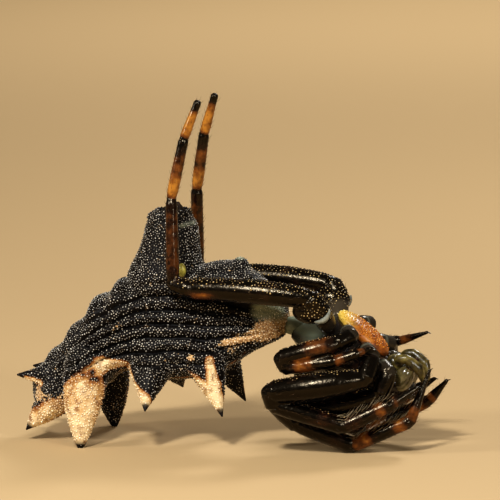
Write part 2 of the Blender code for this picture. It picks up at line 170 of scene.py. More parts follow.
def moveVertices(mesh, places):
    mesh.vertices.foreach_set("co", places.astype(np.float32).ravel())
    mesh.update()


def pressToFloor(mesh):
    places = coordinates(mesh)
    places[:, 2] = np.maximum(places[:, 2], drawing["floor"])
    moveVertices(mesh, places)


def storeAttributes(mesh, **layers):
    for name, values in layers.items():
        kind, field = ("FLOAT", "value") if values.ndim == 1 else ("FLOAT_VECTOR", "vector")
        attribute = mesh.attributes.get(name) or mesh.attributes.new(name, kind, "POINT")
        attribute.data.foreach_set(field, values.astype(np.float32).ravel())


def smoothStep(low, high, values):
    share = np.clip((values - low) / (high - low), 0.0, 1.0)
    return share * share * (3 - 2 * share)


def alongRows(rows, place):
    # a smooth curve through the rows, at a row's number and a fraction
    index = min(int(place), len(rows) - 2)
    share = place - index
    before, start, end, after = [np.array(rows[min(max(i, 0), len(rows) - 1)]) for i in range(index - 1, index + 3)]
    slopeIn, slopeOut = (end - before) / 2, (after - start) / 2
    cubic = 2 * start - 2 * end + slopeIn + slopeOut
    square = 3 * end - 3 * start - 2 * slopeIn - slopeOut
    return ((cubic * share + square) * share + slopeIn) * share + start


def drawnOut(rows, steps):
    return [alongRows(rows, i / steps) for i in range((len(rows) - 1) * steps + 1)]


def turns(count):
    return [2 * math.pi * i / count for i in range(count)]


def loftPiece(name, rings):
    shape = bmesh.new()
    loops = [[shape.verts.new(point) for point in ring] for ring in rings]
    count = len(loops[0])
    for lower, upper in zip(loops, loops[1:]):
        for i in range(count):
            j = (i + 1) % count
            shape.faces.new((lower[i], lower[j], upper[j], upper[i]))
    for ring in (loops[0], loops[-1]):
        pole = shape.verts.new(sum((vert.co for vert in ring), Vector()) / count)
        for i in range(count):
            shape.faces.new((ring[i], ring[(i + 1) % count], pole))
    bmesh.ops.recalc_face_normals(shape, faces=shape.faces)
    return fromShape(name, shape)


# rings of a tube's round end: how far out and how wide, in radii
roundEnd = ((-0.92, 0.38), (-0.7, 0.71), (-0.38, 0.92))


def tubePiece(name, points, radii, sides=18, keel=0.0, keelWay=Vector((0, 0, 1))):
    # a tapered tube; keel raises one long edge of it
    count = len(points)
    ways = [(points[min(i + 1, count - 1)] - points[max(i - 1, 0)]).normalized() for i in range(count)]
    stations = [(points[0] + ways[0] * radii[0] * back, radii[0] * size, ways[0]) for back, size in roundEnd]
    stations += list(zip(points, radii, ways))
    stations += [(points[-1] - ways[-1] * radii[-1] * back, radii[-1] * size, ways[-1])
                 for back, size in reversed(roundEnd)]
    rings = []
    for centre, radius, way in stations:
        across = way.cross(keelWay).normalized()
        up = across.cross(way).normalized()
        ring = []
        for angle in turns(sides):
            reach = radius * (1 + keel * max(0.0, math.sin(angle)) ** 6)
            ring.append(centre + across * (reach * math.cos(angle)) + up * (reach * math.sin(angle)))
        rings.append(ring)
    return loftPiece(name, rings)


def roundPiece(name, centre, halfSizes, slope=0.0, segments=32, rings=20):
    # an ellipsoid; slope, in degrees, turns its front down
    shape = bmesh.new()
    bmesh.ops.create_uvsphere(shape, u_segments=segments, v_segments=rings, radius=1.0)
    turn = Matrix.Rotation(math.radians(slope), 4, "Y")
    size = Matrix.Diagonal((*halfSizes, 1.0))
    bmesh.ops.transform(shape, matrix=Matrix.Translation(centre) @ turn @ size, verts=shape.verts)
    return fromShape(name, shape)


def finishPiece(piece, name, material, slotName, node=None, sharp=None):
    piece.name = name
    piece.data.name = name
    piece.data.transform(toModel)
    piece.data.materials.clear()
    piece.data.materials.append(bpy.data.materials[material])
    piece.data.shade_smooth()
    if sharp:
        piece.data.set_sharp_from_angle(angle=math.radians(sharp))
    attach(piece, "root")
    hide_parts(node or slotName)


# camera, at the photograph's viewing angle, with a long macro lens
camera = {"azimuth": 13.0, "elevation": 7.6, "distance": 0.16, "frameWidth": 0.014, "sensor": 36.0,
          "middleAcross": 1.82, "middleUp": 5.516, "clip": (0.005, 5.0)}


def turned(thing, place, way):
    thing.location = place
    thing.rotation_mode = "QUATERNION"
    thing.rotation_quaternion = way.to_track_quat("-Z", "Y")


def setCamera(values):
    azimuth, elevation = math.radians(values["azimuth"]), math.radians(values["elevation"])
    level = math.cos(elevation)
    back = Vector((math.sin(azimuth) * level, -math.cos(azimuth) * level, math.sin(elevation)))
    right = Vector((math.cos(azimuth), math.sin(azimuth), 0.0))
    target = toModel @ (right * values["middleAcross"] + back.cross(right) * values["middleUp"])
    lens = bpy.data.cameras.new("camera")
    lens.sensor_width = values["sensor"]
    lens.lens = values["sensor"] * values["distance"] / values["frameWidth"]
    lens.clip_start, lens.clip_end = values["clip"]
    eye = newObject("camera", lens)
    turned(eye, target + back * values["distance"], -back)
    bpy.context.scene.camera = eye


setCamera(camera)
print("camera set")

# pale floor and soft studio light
stage = {"floorSize": 3.0, "floorColour": "#C6A87A", "floorRough": 0.9, "worldColour": "#EADCC6",
         "worldStrength": 0.19, "viewTransform": "Standard", "look": "Medium High Contrast",
         # name, place, size, power and spread of each lamp, which looks at the model; small enough to give every
         # grain its own glint
         "lamps": (
             ("keySoftbox", (-0.006, -0.066, 0.066), 0.011, 0.066, 180),
             ("sideSoftbox", (-0.07, -0.046, 0.04), 0.012, 0.024, 180),
             ("fillSoftbox", (0.064, -0.064, 0.036), 0.012, 0.022, 180),
             ("rimSoftbox", (0.02, 0.06, 0.06), 0.018, 0.026, 180)),
         # the last lamp looks straight down, at the floor behind the model only
         "floorLamp": ("floorSoftbox", (-0.01, 0.13, 0.09), 0.06, 0.026, 100)}


def addLamp(name, place, size, power, spread, way):
    light = bpy.data.lights.new(name, "AREA")
    light.size = size
    light.energy = power
    light.spread = math.radians(spread)
    turned(newObject(name, light), place, way)


def makeStage(values):
    floorMesh = bpy.data.meshes.new("studioFloor")
    half = values["floorSize"] / 2
    corners = [(-half, -half, 0), (half, -half, 0), (half, half, 0), (-half, half, 0)]
    floorMesh.from_pydata(corners, [], [(0, 1, 2, 3)])
    paint = bpy.data.materials.new("mattePaperBackdrop")  # matte studio paper: soft, without gloss
    paint.use_nodes = True
    setInputs(paint.node_tree.nodes["Principled BSDF"],
              {"Base Color": values["floorColour"], "Roughness": values["floorRough"]})
    floorMesh.materials.append(paint)
    newObject("studioFloor", floorMesh)
    world = bpy.data.worlds.new("studioWorld")
    world.use_nodes = True
    setInputs(world.node_tree.nodes["Background"],
              {"Color": values["worldColour"], "Strength": values["worldStrength"]})
    bpy.context.scene.world = world
    bpy.context.scene.view_settings.view_transform = values["viewTransform"]
    bpy.context.scene.view_settings.look = values["look"]
    for lamp in values["lamps"]:
        addLamp(*lamp, (cadLow + cadHigh) / 2 - Vector(lamp[1]))
    addLamp(*values["floorLamp"], Vector((0, 0, -1)))


makeStage(stage)
print("stage set")

# materials; patterns lie in millimetres on object coordinates, so noise of scale 5 has spots about 0.2 mm wide.
# The cuticle's own relief, of about 0.01 mm, wouldn't show: its bump noise is drawn several times as coarse.
millimetresPerUnit = 1000.0


def newMaterial(name):
    material = bpy.data.materials.new(name)
    material.use_nodes = True
    add = partial(addNode, material.node_tree)
    place = add("ShaderNodeTexCoord", out="Object")
    vector = add("ShaderNodeMapping", {"Vector": place, "Scale": (millimetresPerUnit,) * 3})
    return add, material.node_tree.nodes["Principled BSDF"], vector


def marked(add, colour, marks, values):
    # lays each mark's colour over the skin where its attribute says
    for mark in marks:
        share = add("ShaderNodeAttribute", out="Fac", attribute_name=mark)
        colour = add("ShaderNodeMix", {0: share, 6: colour, 7: values[mark]}, data_type="RGBA")
    return colour


# a painted glint on the top of each grain, some far brighter than others: noise scale and range, least share
paintedGlintFinish = {"curve": 0.95, "noise": 17.0, "range": (0.4, 0.6), "least": 0.08}


def withPaintedGlint(add, colour, paintedGlintColour, vector, values):
    crown = add("ShaderNodeAttribute", out="Fac", attribute_name="crown")
    crown = add("ShaderNodeMath", {0: crown, 1: values["curve"]}, operation="POWER")
    spread = add("ShaderNodeTexNoise", {"Vector": vector, "Scale": values["noise"], "Detail": 1.0})
    varied = add("ShaderNodeMapRange", {"Value": spread, "From Min": values["range"][0],
                                        "From Max": values["range"][1], "To Min": values["least"]})
    share = add("ShaderNodeMath", {0: crown, 1: varied}, operation="MULTIPLY")
    return add("ShaderNodeMix", {0: share, 6: colour, 7: paintedGlintColour}, data_type="RGBA")


def finishCuticle(add, shader, values, colour, fine, roughNoise):
    # a noise's values lie mostly between 0.3 and 0.7
    rough = add("ShaderNodeMapRange", {"Value": roughNoise, "From Min": 0.3, "From Max": 0.7,
                                       "To Min": values["rough"][0], "To Max": values["rough"][1]})
    bump = add("ShaderNodeBump", {"Height": fine, "Distance": values["bumpDistance"]})
    setInputs(shader, {"Base Color": colour, "Roughness": rough, "IOR": values["ior"],
                       "Specular IOR Level": values["specular"], "Normal": bump})


# Abdomen cuticle: hardened chitin, jet black between its granules, with painted shade in the furrows so that
# they read as black lines, with cream pigment under clear cuticle, edged in orange-brown
abdomenFinish = {"dark": ((0.3, "#050403"), (0.75, "#120C09")), "furrow": "#010101", "mottle": "#7A4C26",
                 "patch": ((0.36, "#6E3A18"), (0.5, "#9A6636"), (0.66, "#C6995F"), (0.92, "#E6CB9C")),
                 "fold": ((0.3, "#7C5430"), (0.7, "#D8B27E")), "tip": "#100A08", "waxy": "#8E937B", "ior": 1.55,
                 "specular": 0.12, "rough": (0.42, 0.62), "patchNoise": 2.6, "mottleNoise": 5.5, "bumpNoise": 14.0,
                 "bumpDistance": 0.000012, "patchFray": 0.75, "patchFrom": (0.3, 0.44), "mottleFrom": (0.5, 0.66),
                 "mottleShare": 0.75, "tanFray": (1.1, 1.6), "tanFrom": (1.2, 1.4)}
# Abdomen granules: the same cuticle, smooth and clear on top, in colours painted lighter than the skin's as
# highlight, with a painted glint on each top
grainFinish = dict(abdomenFinish, rough=(0.12, 0.24), specular=0.5, crown="#FFF6E2", mottle="#A97444",
                   dark=((0.3, "#0C0907"), (0.75, "#241A13")), fold=((0.3, "#B08A58"), (0.7, "#EED0A0")),
                   patch=((0.36, "#8A5426"), (0.5, "#BE8C52"), (0.66, "#E4C38C"), (0.92, "#F8E4B8")))


def makeAbdomenMaterial(name, values):
    add, shader, vector = newMaterial(name)
    fine = add("ShaderNodeTexNoise", {"Vector": vector, "Scale": values["bumpNoise"], "Detail": 4.0})
    broad = add("ShaderNodeTexNoise", {"Vector": vector, "Scale": values["patchNoise"], "Detail": 5.0,
                                       "Roughness": 0.6})
    spots = add("ShaderNodeTexNoise", {"Vector": vector, "Scale": values["mottleNoise"], "Detail": 3.0,
                                       "Roughness": 0.6})
    fray = values["patchFray"]
    jitter = add("ShaderNodeMapRange", {"Value": broad, "To Min": -fray, "To Max": fray})
    cream = add("ShaderNodeAttribute", out="Fac", attribute_name="cream")
    cream = add("ShaderNodeMath", {0: cream, 1: jitter}, operation="ADD", use_clamp=True)
    low, high = values["patchFrom"]
    present = add("ShaderNodeMapRange", {"Value": cream, "From Min": low, "From Max": high})
    low, high = values["mottleFrom"]
    mottle = add("ShaderNodeMapRange", {"Value": spots, "From Min": low, "From Max": high,
                                        "To Max": values["mottleShare"]})
    dark = add("ShaderNodeValToRGB", {"Fac": fine}, values["dark"])
    patch = add("ShaderNodeValToRGB", {"Fac": cream}, values["patch"])
    patch = add("ShaderNodeMix", {0: mottle, 6: patch, 7: values["mottle"]}, data_type="RGBA")
    colour = add("ShaderNodeMix", {0: present, 6: dark, 7: patch}, data_type="RGBA")
    tan = add("ShaderNodeAttribute", out="Fac", attribute_name="tan")
    for noise, share in zip((jitter, fine), values["tanFray"]):
        tan = add("ShaderNodeMath", {0: noise, 1: share, 2: tan}, operation="MULTIPLY_ADD")
    low, high = values["tanFrom"]
    tan = add("ShaderNodeMapRange", {"Value": tan, "From Min": low, "From Max": high})
    fold = add("ShaderNodeValToRGB", {"Fac": fine}, values["fold"])
    colour = add("ShaderNodeMix", {0: tan, 6: colour, 7: fold}, data_type="RGBA")
    colour = marked(add, colour, ("waxy", "tip", "furrow"), values)
    if "crown" in values:
        colour = withPaintedGlint(add, colour, values["crown"], vector, paintedGlintFinish)
    finishCuticle(add, shader, values, colour, fine, fine)


makeAbdomenMaterial("chitinAbdomenCuticle", abdomenFinish)
makeAbdomenMaterial("chitinAbdomenGrains", grainFinish)

# Leg cuticle: smooth hardened chitin, black with sharp golden lights, clear amber where it is thin
legFinish = {"clear": ((0.12, "#050302"), (0.44, "#22110A"), (0.76, "#70401A"), (0.98, "#AA722C")),
             "pale": "#A9AB95", "smoky": "#463D30", "gloss": "#FFEBC8", "specular": 0.28, "ior": 1.58,
             "rough": (0.15, 0.27), "noise": 4.6, "fray": 0.45, "bumpNoise": 14.0, "bumpDistance": 0.000008}
# Leg granules: the same cuticle, in colours painted lighter than the skin's as highlight, each with a painted glint
# on its clear top
legGrainFinish = dict(legFinish, crown="#F2CE8A", specular=0.5,
                      clear=((0.12, "#0C0704"), (0.44, "#3A2210"), (0.76, "#7A4418"), (0.98, "#B9822F")))


def makeLegMaterial(name, values):
    add, shader, vector = newMaterial(name)
    fine = add("ShaderNodeTexNoise", {"Vector": vector, "Scale": values["bumpNoise"], "Detail": 3.0})
    broad = add("ShaderNodeTexNoise", {"Vector": vector, "Scale": values["noise"], "Detail": 4.0})
    fray = values["fray"]
    jitter = add("ShaderNodeMapRange", {"Value": broad, "To Min": -fray, "To Max": fray})
    amber = add("ShaderNodeAttribute", out="Fac", attribute_name="amber")
    amber = add("ShaderNodeMath", {0: amber, 1: jitter}, operation="ADD", use_clamp=True)
    colour = add("ShaderNodeValToRGB", {"Fac": amber}, values["clear"])
    colour = marked(add, colour, ("smoky", "pale"), values)
    if "crown" in values:
        colour = withPaintedGlint(add, colour, values["crown"], vector, paintedGlintFinish)
    finishCuticle(add, shader, values, colour, fine, broad)
    setInputs(shader, {"Specular Tint": values["gloss"]})


makeLegMaterial("chitinLegCuticle", legFinish)
makeLegMaterial("chitinLegGrains", legGrainFinish)

shells = {
    # smooth glossy chitin of the carapace, waxy and pale on its rear slope
    "chitinCarapace": {"stops": ((0.35, "#0D0907"), (0.7, "#2A1C13")), "noise": 5.0, "rough": 0.2, "waxy": "#7C8570"},
    # thin clear cuticle over yellow to orange tissue, which glows through it
    "chitinSternum": {"stops": ((0.36, "#6A340E"), (0.5, "#A05A18"), (0.7, "#C07E30")), "noise": 3.5, "rough": 0.36,
                      "waxy": "#DDBA50"},
    # the granules of the sternum: the same clear cuticle, each with its own light
    "chitinSternumBeads": {"stops": ((0.3, "#7E3E0E"), (0.5, "#B4681C"), (0.7, "#DCA048")), "noise": 9.0,
                           "rough": 0.16, "waxy": "#E6C766"},
    # olive-yellow clear cuticle of mouthparts and palps
    "chitinMouthparts": {"stops": ((0.3, "#1C180A"), (0.5, "#4E431D"), (0.75, "#9A8A4C")), "noise": 4.0,
                         "rough": 0.28},
    # thick glassy dark cuticle of the jaws, with a clear outer layer
    "chitinChelicera": {"stops": ((0.35, "#241E12"), (0.5, "#564C2E"), (0.7, "#8C8056")), "noise": 3.0, "rough": 0.1,
                        "coat": 0.6},
    # glossy red-brown fangs, black where they are thick
    "chitinFangs": {"stops": ((0.3, "#1E0C06"), (0.6, "#4E2412")), "noise": 6.0, "rough": 0.14},
    # soft waxy membrane of the waist
    "softMembrane": {"stops": ((0.3, "#5E6553"), (0.7, "#8E9780")), "noise": 5.0, "rough": 0.4},
    # pale soft rim between two leg segments
    "paleMembrane": {"stops": ((0.35, "#56584E"), (0.7, "#989A8C")), "noise": 6.0, "rough": 0.3},
    # yellow-green tubercles of the belly, soft and dull
    "softTubercle": {"stops": ((0.35, "#7C7026"), (0.7, "#D0C45C")), "noise": 6.0, "rough": 0.35},
    # amber clear cuticle round the eyes
    "chitinEyeRims": {"stops": ((0.3, "#4A2A10"), (0.7, "#B07C3C")), "noise": 8.0, "rough": 0.2},
    # polished clear lenses over black pigment
    "polishedEyeLens": {"stops": ((0.3, "#050403"), (0.7, "#120D08")), "noise": 8.0, "rough": 0.04, "ior": 1.5},
    # fine clear-brown bristles that glint
    "chitinBristles": {"stops": ((0.3, "#21150D"), (0.7, "#6E5236")), "noise": 20.0, "rough": 0.22},
    # longer pale hairs in rows along the metatarsi
    "chitinCombHairs": {"stops": ((0.3, "#8C7048"), (0.7, "#E2D2AE")), "noise": 20.0, "rough": 0.2}}


def makeShellMaterial(name, values, reliefNoise=5, bumpDistance=0.000004):
    add, shader, vector = newMaterial(name)
    broad = add("ShaderNodeTexNoise", {"Vector": vector, "Scale": values["noise"], "Detail": 4.0})
    fine = add("ShaderNodeTexNoise", {"Vector": vector, "Scale": values["noise"] * reliefNoise, "Detail": 3.0})
    colour = add("ShaderNodeValToRGB", {"Fac": broad}, values["stops"])
    if "waxy" in values:
        colour = marked(add, colour, ("waxy",), values)
    bump = add("ShaderNodeBump", {"Height": fine, "Distance": bumpDistance})
    setInputs(shader, {"Base Color": colour, "Roughness": values["rough"], "IOR": values.get("ior", 1.55),
                       "Coat Weight": values.get("coat", 0.0), "Normal": bump})


for name, values in shells.items():
    makeShellMaterial(name, values)
print("materials made")


# grains and bristles, scattered over a skin by Geometry Nodes

def newScatter(name, attribute, densest, labels):
    # points at least Spacing apart, as dense as the skin's attribute says
    tree = bpy.data.node_groups.new(name, "GeometryNodeTree")
    tree.interface.new_socket("Geometry", in_out="INPUT", socket_type="NodeSocketGeometry")
    tree.interface.new_socket("Seed", in_out="INPUT", socket_type="NodeSocketInt")
    for label in ("Spacing", *labels):
        tree.interface.new_socket(label, in_out="INPUT", socket_type="NodeSocketFloat")
    tree.interface.new_socket("Geometry", in_out="OUTPUT", socket_type="NodeSocketGeometry")
    add = partial(addNode, tree)
    start = add("NodeGroupInput").node.outputs
    density = add("GeometryNodeInputNamedAttribute", {"Name": attribute}, data_type="FLOAT")
    points = add("GeometryNodeDistributePointsOnFaces", {"Mesh": start["Geometry"], "Distance Min": start["Spacing"],
                                                         "Density Max": densest, "Density Factor": density,
                                                         "Seed": start["Seed"]}, distribute_method="POISSON")
    return tree, add, start, points.node.outputs


def placeCopies(add, points, copy, turn, size, material):
    placed = add("GeometryNodeInstanceOnPoints", {"Points": points["Points"], "Instance": copy, "Rotation": turn,
                                                  "Scale": size})
    solid = add("GeometryNodeRealizeInstances", {"Geometry": placed})
    finish = add("GeometryNodeSetMaterial", {"Geometry": solid, "Material": bpy.data.materials[material]})
    add("NodeGroupOutput", {"Geometry": finish})


def makeGrainTree():
    tree, add, start, points = newScatter("grainScatter", "grain", 900.0, ("Size", "Height"))
    grain = add("GeometryNodeMeshIcoSphere", {"Radius": 1.0, "Subdivisions": 1})
    size = add("FunctionNodeRandomValue", {2: 0.65, 3: 1.25, "Seed": 7}, data_type="FLOAT")
    wide = add("ShaderNodeMath", {0: size, 1: start["Size"]}, operation="MULTIPLY")
    tall = add("ShaderNodeMath", {0: wide, 1: start["Height"]}, operation="MULTIPLY")
    size = add("ShaderNodeCombineXYZ", {"X": wide, "Y": wide, "Z": tall})
    placeCopies(add, points, grain, points["Rotation"], size, "chitinAbdomenGrains")
    return tree


def makeBristleTree():
    tree, add, start, points = newScatter("bristleScatter", "hair", 300.0, ("Length", "Thickness", "Lean", "Wander"))
    way = add("GeometryNodeInputNamedAttribute", {"Name": "way"}, data_type="FLOAT_VECTOR")
    lean = add("ShaderNodeVectorMath", {0: way, "Scale": start["Lean"]}, operation="SCALE")
    wander = add("FunctionNodeRandomValue", {0: (-1.0, -1.0, -1.0), 1: (1.0, 1.0, 1.0), "Seed": 11},
                 data_type="FLOAT_VECTOR")
    wander = add("ShaderNodeVectorMath", {0: wander, "Scale": start["Wander"]}, operation="SCALE")
    aim = add("ShaderNodeVectorMath", {0: lean, 1: points["Normal"]}, operation="ADD")
    aim = add("ShaderNodeVectorMath", {0: aim, 1: wander}, operation="ADD")
    turn = add("FunctionNodeAlignRotationToVector", {"Vector": aim}, axis="Z")
    bristle = add("GeometryNodeMeshCone", {"Vertices": 4, "Side Segments": 2, "Radius Top": 0.15,
                                           "Radius Bottom": 1.0, "Depth": 1.0})
    length = add("FunctionNodeRandomValue", {2: 0.6, 3: 1.2, "Seed": 5}, data_type="FLOAT")
    length = add("ShaderNodeMath", {0: length, 1: start["Length"]}, operation="MULTIPLY")
    size = add("ShaderNodeCombineXYZ", {"X": start["Thickness"], "Y": start["Thickness"], "Z": length})
    placeCopies(add, points, bristle, turn, size, "chitinBristles")
    return tree


grainTree = makeGrainTree()
bristleTree = makeBristleTree()
copyCorners = 12  # points of one grain, and of one bristle
# size of one copy's patch in the map and margin round all, and the box in millimetres that the map covers
bakeLayout = {"patch": 0.0015, "margin": 0.002, "rear": 4.8, "length": 12.2, "height": 10.2, "middleUp": 3.0,
              "seam": 0.01}


def unwrapSide(roots):
    along = (roots[:, 0] + bakeLayout["rear"]) / bakeLayout["length"]
    return along, np.clip(roots[:, 2] / bakeLayout["height"], 0, 1)


def unwrapBody(roots):
    around = np.arctan2(roots[:, 2] - bakeLayout["middleUp"], roots[:, 1]) / (2 * math.pi) + 0.5
    return around * (1 - 2 * bakeLayout["seam"]) + bakeLayout["seam"], unwrapSide(roots)[0]


def bakeMap(mesh, unwrap):
    # each grain or bristle keeps one small patch of the map, at its root's place on the skin's unwrap
    places = coordinates(mesh).reshape(-1, copyCorners, 3)
    roots = places[:, :1]
    local = places - roots
    local *= bakeLayout["patch"] / (np.abs(local).max(axis=(1, 2), keepdims=True) + 1e-9)
    u, v = unwrap(roots[:, 0])
    flat = np.stack([(u[:, None] + local[:, :, 0]).ravel(), (v[:, None] + local[:, :, 2]).ravel()], axis=1)
    flat = np.clip(flat, bakeLayout["margin"], 1 - bakeLayout["margin"])
    corners = np.empty(len(mesh.loops), dtype=np.int32)
    mesh.loops.foreach_get("vertex_index", corners)
    mesh.uv_layers.new(name="OFBake").data.foreach_set("uv", flat[corners].astype(np.float32).ravel())


def scatter(skin, tree, name, inputs, unwrap=unwrapSide):
    holder = newObject(name, skin.data)
    modifier = holder.modifiers.new("scatter", "NODES")
    modifier.node_group = tree
    for item in tree.interface.items_tree:
        if item.name in inputs:
            modifier[item.identifier] = inputs[item.name]
    mesh = evaluatedMesh(holder)
    bpy.data.objects.remove(holder, do_unlink=True)
    pressToFloor(mesh)
    if unwrap:
        bakeMap(mesh, unwrap)
    return newObject(name, mesh)


def markPaintedGlints(mesh):
    # the last of an ico sphere's points is its top, where the painted glint goes
    storeAttributes(mesh, crown=np.arange(len(mesh.vertices)) % copyCorners == copyCorners - 1)


# abdomen; sections and cone: place, back, belly and half widths, or place, height and radius, from the rear
abdomen = {
    "sections": ((-4.28, 1.3, 1.95, 0.42, 0.38), (-4.1, 0.98, 2.2, 0.8, 0.66), (-3.75, 0.84, 2.56, 1.14, 0.84),
                 (-3.3, 0.92, 3.04, 1.38, 0.92), (-2.8, 1.2, 3.62, 1.54, 0.98), (-2.3, 1.68, 4.16, 1.6, 1.02),
                 (-1.6, 2.2, 4.58, 1.54, 1.04), (-0.8, 2.02, 4.76, 1.42, 1.02), (0.0, 1.98, 4.95, 1.3, 0.98),
                 (0.8, 2.12, 5.24, 1.16, 0.9), (1.4, 2.42, 5.28, 1.04, 0.8), (1.9, 2.76, 5.06, 0.9, 0.68),
                 (2.4, 3.02, 4.7, 0.74, 0.54), (2.76, 3.2, 4.3, 0.56, 0.42), (2.94, 3.42, 4.0, 0.32, 0.26)),
    "steps": 5, "sides": 96, "squareness": 2.7, "voxel": 0.05, "smoothing": 14,
    "cone": ((-0.56, 3.6, 1.02), (-0.54, 4.5, 1.08), (-0.5, 4.9, 1.04), (-0.44, 5.3, 0.91),
             (-0.39, 5.75, 0.8), (-0.36, 6.15, 0.73), (-0.34, 6.4, 0.66), (-0.33, 6.52, 0.52)),
    "coneSteps": 4, "coneSides": 64, "craterRadius": 0.46, "craterFloor": 6.22,
    # root, tip, root's radius, outward bulge and fullness
    "spines": {"front": ((0.72, 0.7, 2.72), (1.4, 1.42, 1.16), 0.66, 0.0, 1.0),
               "middle": ((-0.74, 0.92, 2.46), (-0.6, 2.2, 1.36), 0.66, 0.02, 1.0),
               "large": ((-2.56, 1.0, 2.35), (-2.52, 1.92, 0.08), 0.62, 0.16, 2.0),
               "rearLow": ((-3.38, 0.7, 1.56), (-4.3, 1.04, 0.52), 0.58, 0.04, 1.35),
               "rearHigh": ((-3.46, 0.52, 1.98), (-4.6, 0.86, 2.02), 0.42, 0.03, 1.1)},
    "spineTip": 0.025, "pointFrom": 0.66, "pointGrow": 0.004,
    # plates beside the waist, the epigynum and the anal tubercle: middle and half sizes
    "plate": ((1.84, 0.56, 4.26), (0.62, 0.2, 0.26)),
    "smoothPlate": ((1.6, 0.8, 4.2), (2.25, 0.7, 4.3), 0.22, 0.22, 0.1),
    "epigynum": ((1.6, 0.0, 5.14), (0.26, 0.24, 0.28)), "analTubercle": ((-0.9, 0.0, 6.46), (0.17, 0.2, 0.18))}

# the furrows sweep up from the rear spines, run level along the flank and close up in front: place and height
# along the lowest and the highest, and how far they fade out
folds = {"count": 5, "depth": 0.2, "sharpness": 0.6, "rear": (-4.0, -2.8), "front": (1.7, 2.7),
         "low": ((-4.0, 1.35), (-3.2, 1.75), (-2.4, 2.35), (-1.6, 2.6), (-0.6, 2.62), (0.6, 2.66), (1.6, 2.9),
                 (2.7, 3.3)),
         "high": ((-4.0, 2.1), (-3.2, 2.95), (-2.4, 3.85), (-1.6, 4.35), (-0.6, 4.5), (0.6, 4.5), (1.6, 4.35),
                  (2.7, 4.05)),
         "below": (-0.25, 0.0), "above": (0.95, 1.15), "flank": (0.45, 0.8), "coneFrom": (4.75, 5.0),
         "coneReach": (-0.5, 1.3), "waver": (0.05, 2.3, 1.0), "fineWaver": (0.03, 5.1),
         # ledges across the rear slope, where the ridges turn over it: place, width and height
         "ledges": ((-1.72, 0.22, 0.2), (-2.42, 0.2, 0.16), (-3.1, 0.2, 0.12), (-3.72, 0.16, 0.08)),
         "ledgeAbove": (0.75, 1.0), "ledgeFacing": (0.1, 0.5)}

# the flat back, which faces the floor, is pale with a dark middle stripe
backMarks = {"height": ((-0.3, -0.1), (0.04, 0.16)), "facing": (0.6, 0.85), "width": (0.85, 1.25), "front": 2.6,
             "stripe": (0.2, 0.45), "wave": (0.12, 3.1), "pale": (0.15, 0.55)}
tipMarks = {"large": 0.3, "small": 0.2, "fade": (0.06, 0.08)}
# the inner sides, which lie in shade, keep no cream: painted shade
creamLitFacing = (-0.35, 0.15)  # cream lies on the outer side only
# how far the grains thin out on the spines' tips, the smooth plates, the back and the furrows; where furrows get
# painted shade
grainCover = {"tip": 0.8, "plate": 0.9, "back": 0.3, "backFade": (0.05, 0.3), "furrow": (0.18, 0.5),
              "furrowPaintedShade": (0.35, 0.9)}

# cream, tan and waxy patches of the flank: start, end, first and last radius, and softness, in millimetres
creamPatches = (
    ((-2.5, 1.6, 1.62), (-2.52, 1.95, 0.3), 0.58, 0.6, 0.34),
    ((-3.4, 1.3, 1.1), (-4.15, 1.02, 0.66), 0.36, 0.32, 0.26),
    ((-3.95, 0.9, 1.8), (-4.35, 0.88, 1.9), 0.1, 0.12, 0.12),
    ((-2.56, 1.62, 1.9), (-2.1, 1.34, 2.5), 0.26, 0.2, 0.24),
    ((-2.1, 1.3, 2.46), (-1.46, 1.22, 2.36), 0.22, 0.2, 0.14),
    ((-1.46, 1.22, 2.34), (-1.06, 1.48, 1.98), 0.17, 0.14, 0.12),
    ((-1.06, 1.48, 1.98), (-0.66, 2.12, 1.52), 0.14, 0.26, 0.1),
    ((0.28, 1.3, 2.24), (1.14, 1.42, 1.46), 0.18, 0.42, 0.14),
    ((1.0, 1.24, 2.66), (1.2, 1.38, 1.8), 0.1, 0.2, 0.14))
tanPatches = (
    ((0.12, 1.36, 2.66), (0.5, 1.3, 2.7), 0.1, 0.1, 0.1),
    ((-0.8, 0.0, 6.4), (-0.72, 0.3, 6.46), 0.06, 0.06, 0.08),
    ((1.38, 0.95, 3.05), (2.9, 0.5, 3.45), 0.15, 0.22, 0.2),
    ((2.45, 0.6, 3.5), (2.95, 0.3, 3.6), 0.3, 0.34, 0.18),
    ((-4.0, 0.9, 1.5), (-3.6, 1.1, 1.35), 0.22, 0.22, 0.22),
    ((-3.3, 1.3, 1.3), (-2.8, 1.5, 1.6), 0.2, 0.2, 0.22))
waxyPatches = (((2.3, 0.62, 4.02), (2.8, 0.42, 3.96), 0.22, 0.22, 0.14),
               ((0.27, 0.1, 6.34), (0.04, 0.56, 6.32), 0.05, 0.04, 0.06),
               ((1.6, 0.0, 5.4), (1.6, 0.0, 5.44), 0.12, 0.12, 0.06))


def capsuleShare(places, patches):
    share = np.zeros(len(places))
    mirrored = places.copy()
    mirrored[:, 1] = np.abs(mirrored[:, 1])
    for start, end, firstRadius, lastRadius, softness in patches:
        start, end = np.array(start), np.array(end)
        way = end - start
        step = np.clip((mirrored - start) @ way / max(way @ way, 1e-9), 0, 1)
        distance = np.linalg.norm(mirrored - start - step[:, None] * way, axis=1)
        distance -= firstRadius + (lastRadius - firstRadius) * step
        share = np.maximum(share, 1 - smoothStep(-softness, softness, distance))
    return share


def backHeight(places):
    rows = np.array(abdomen["sections"])
    return np.interp(places[:, 0], rows[:, 0], rows[:, 1])


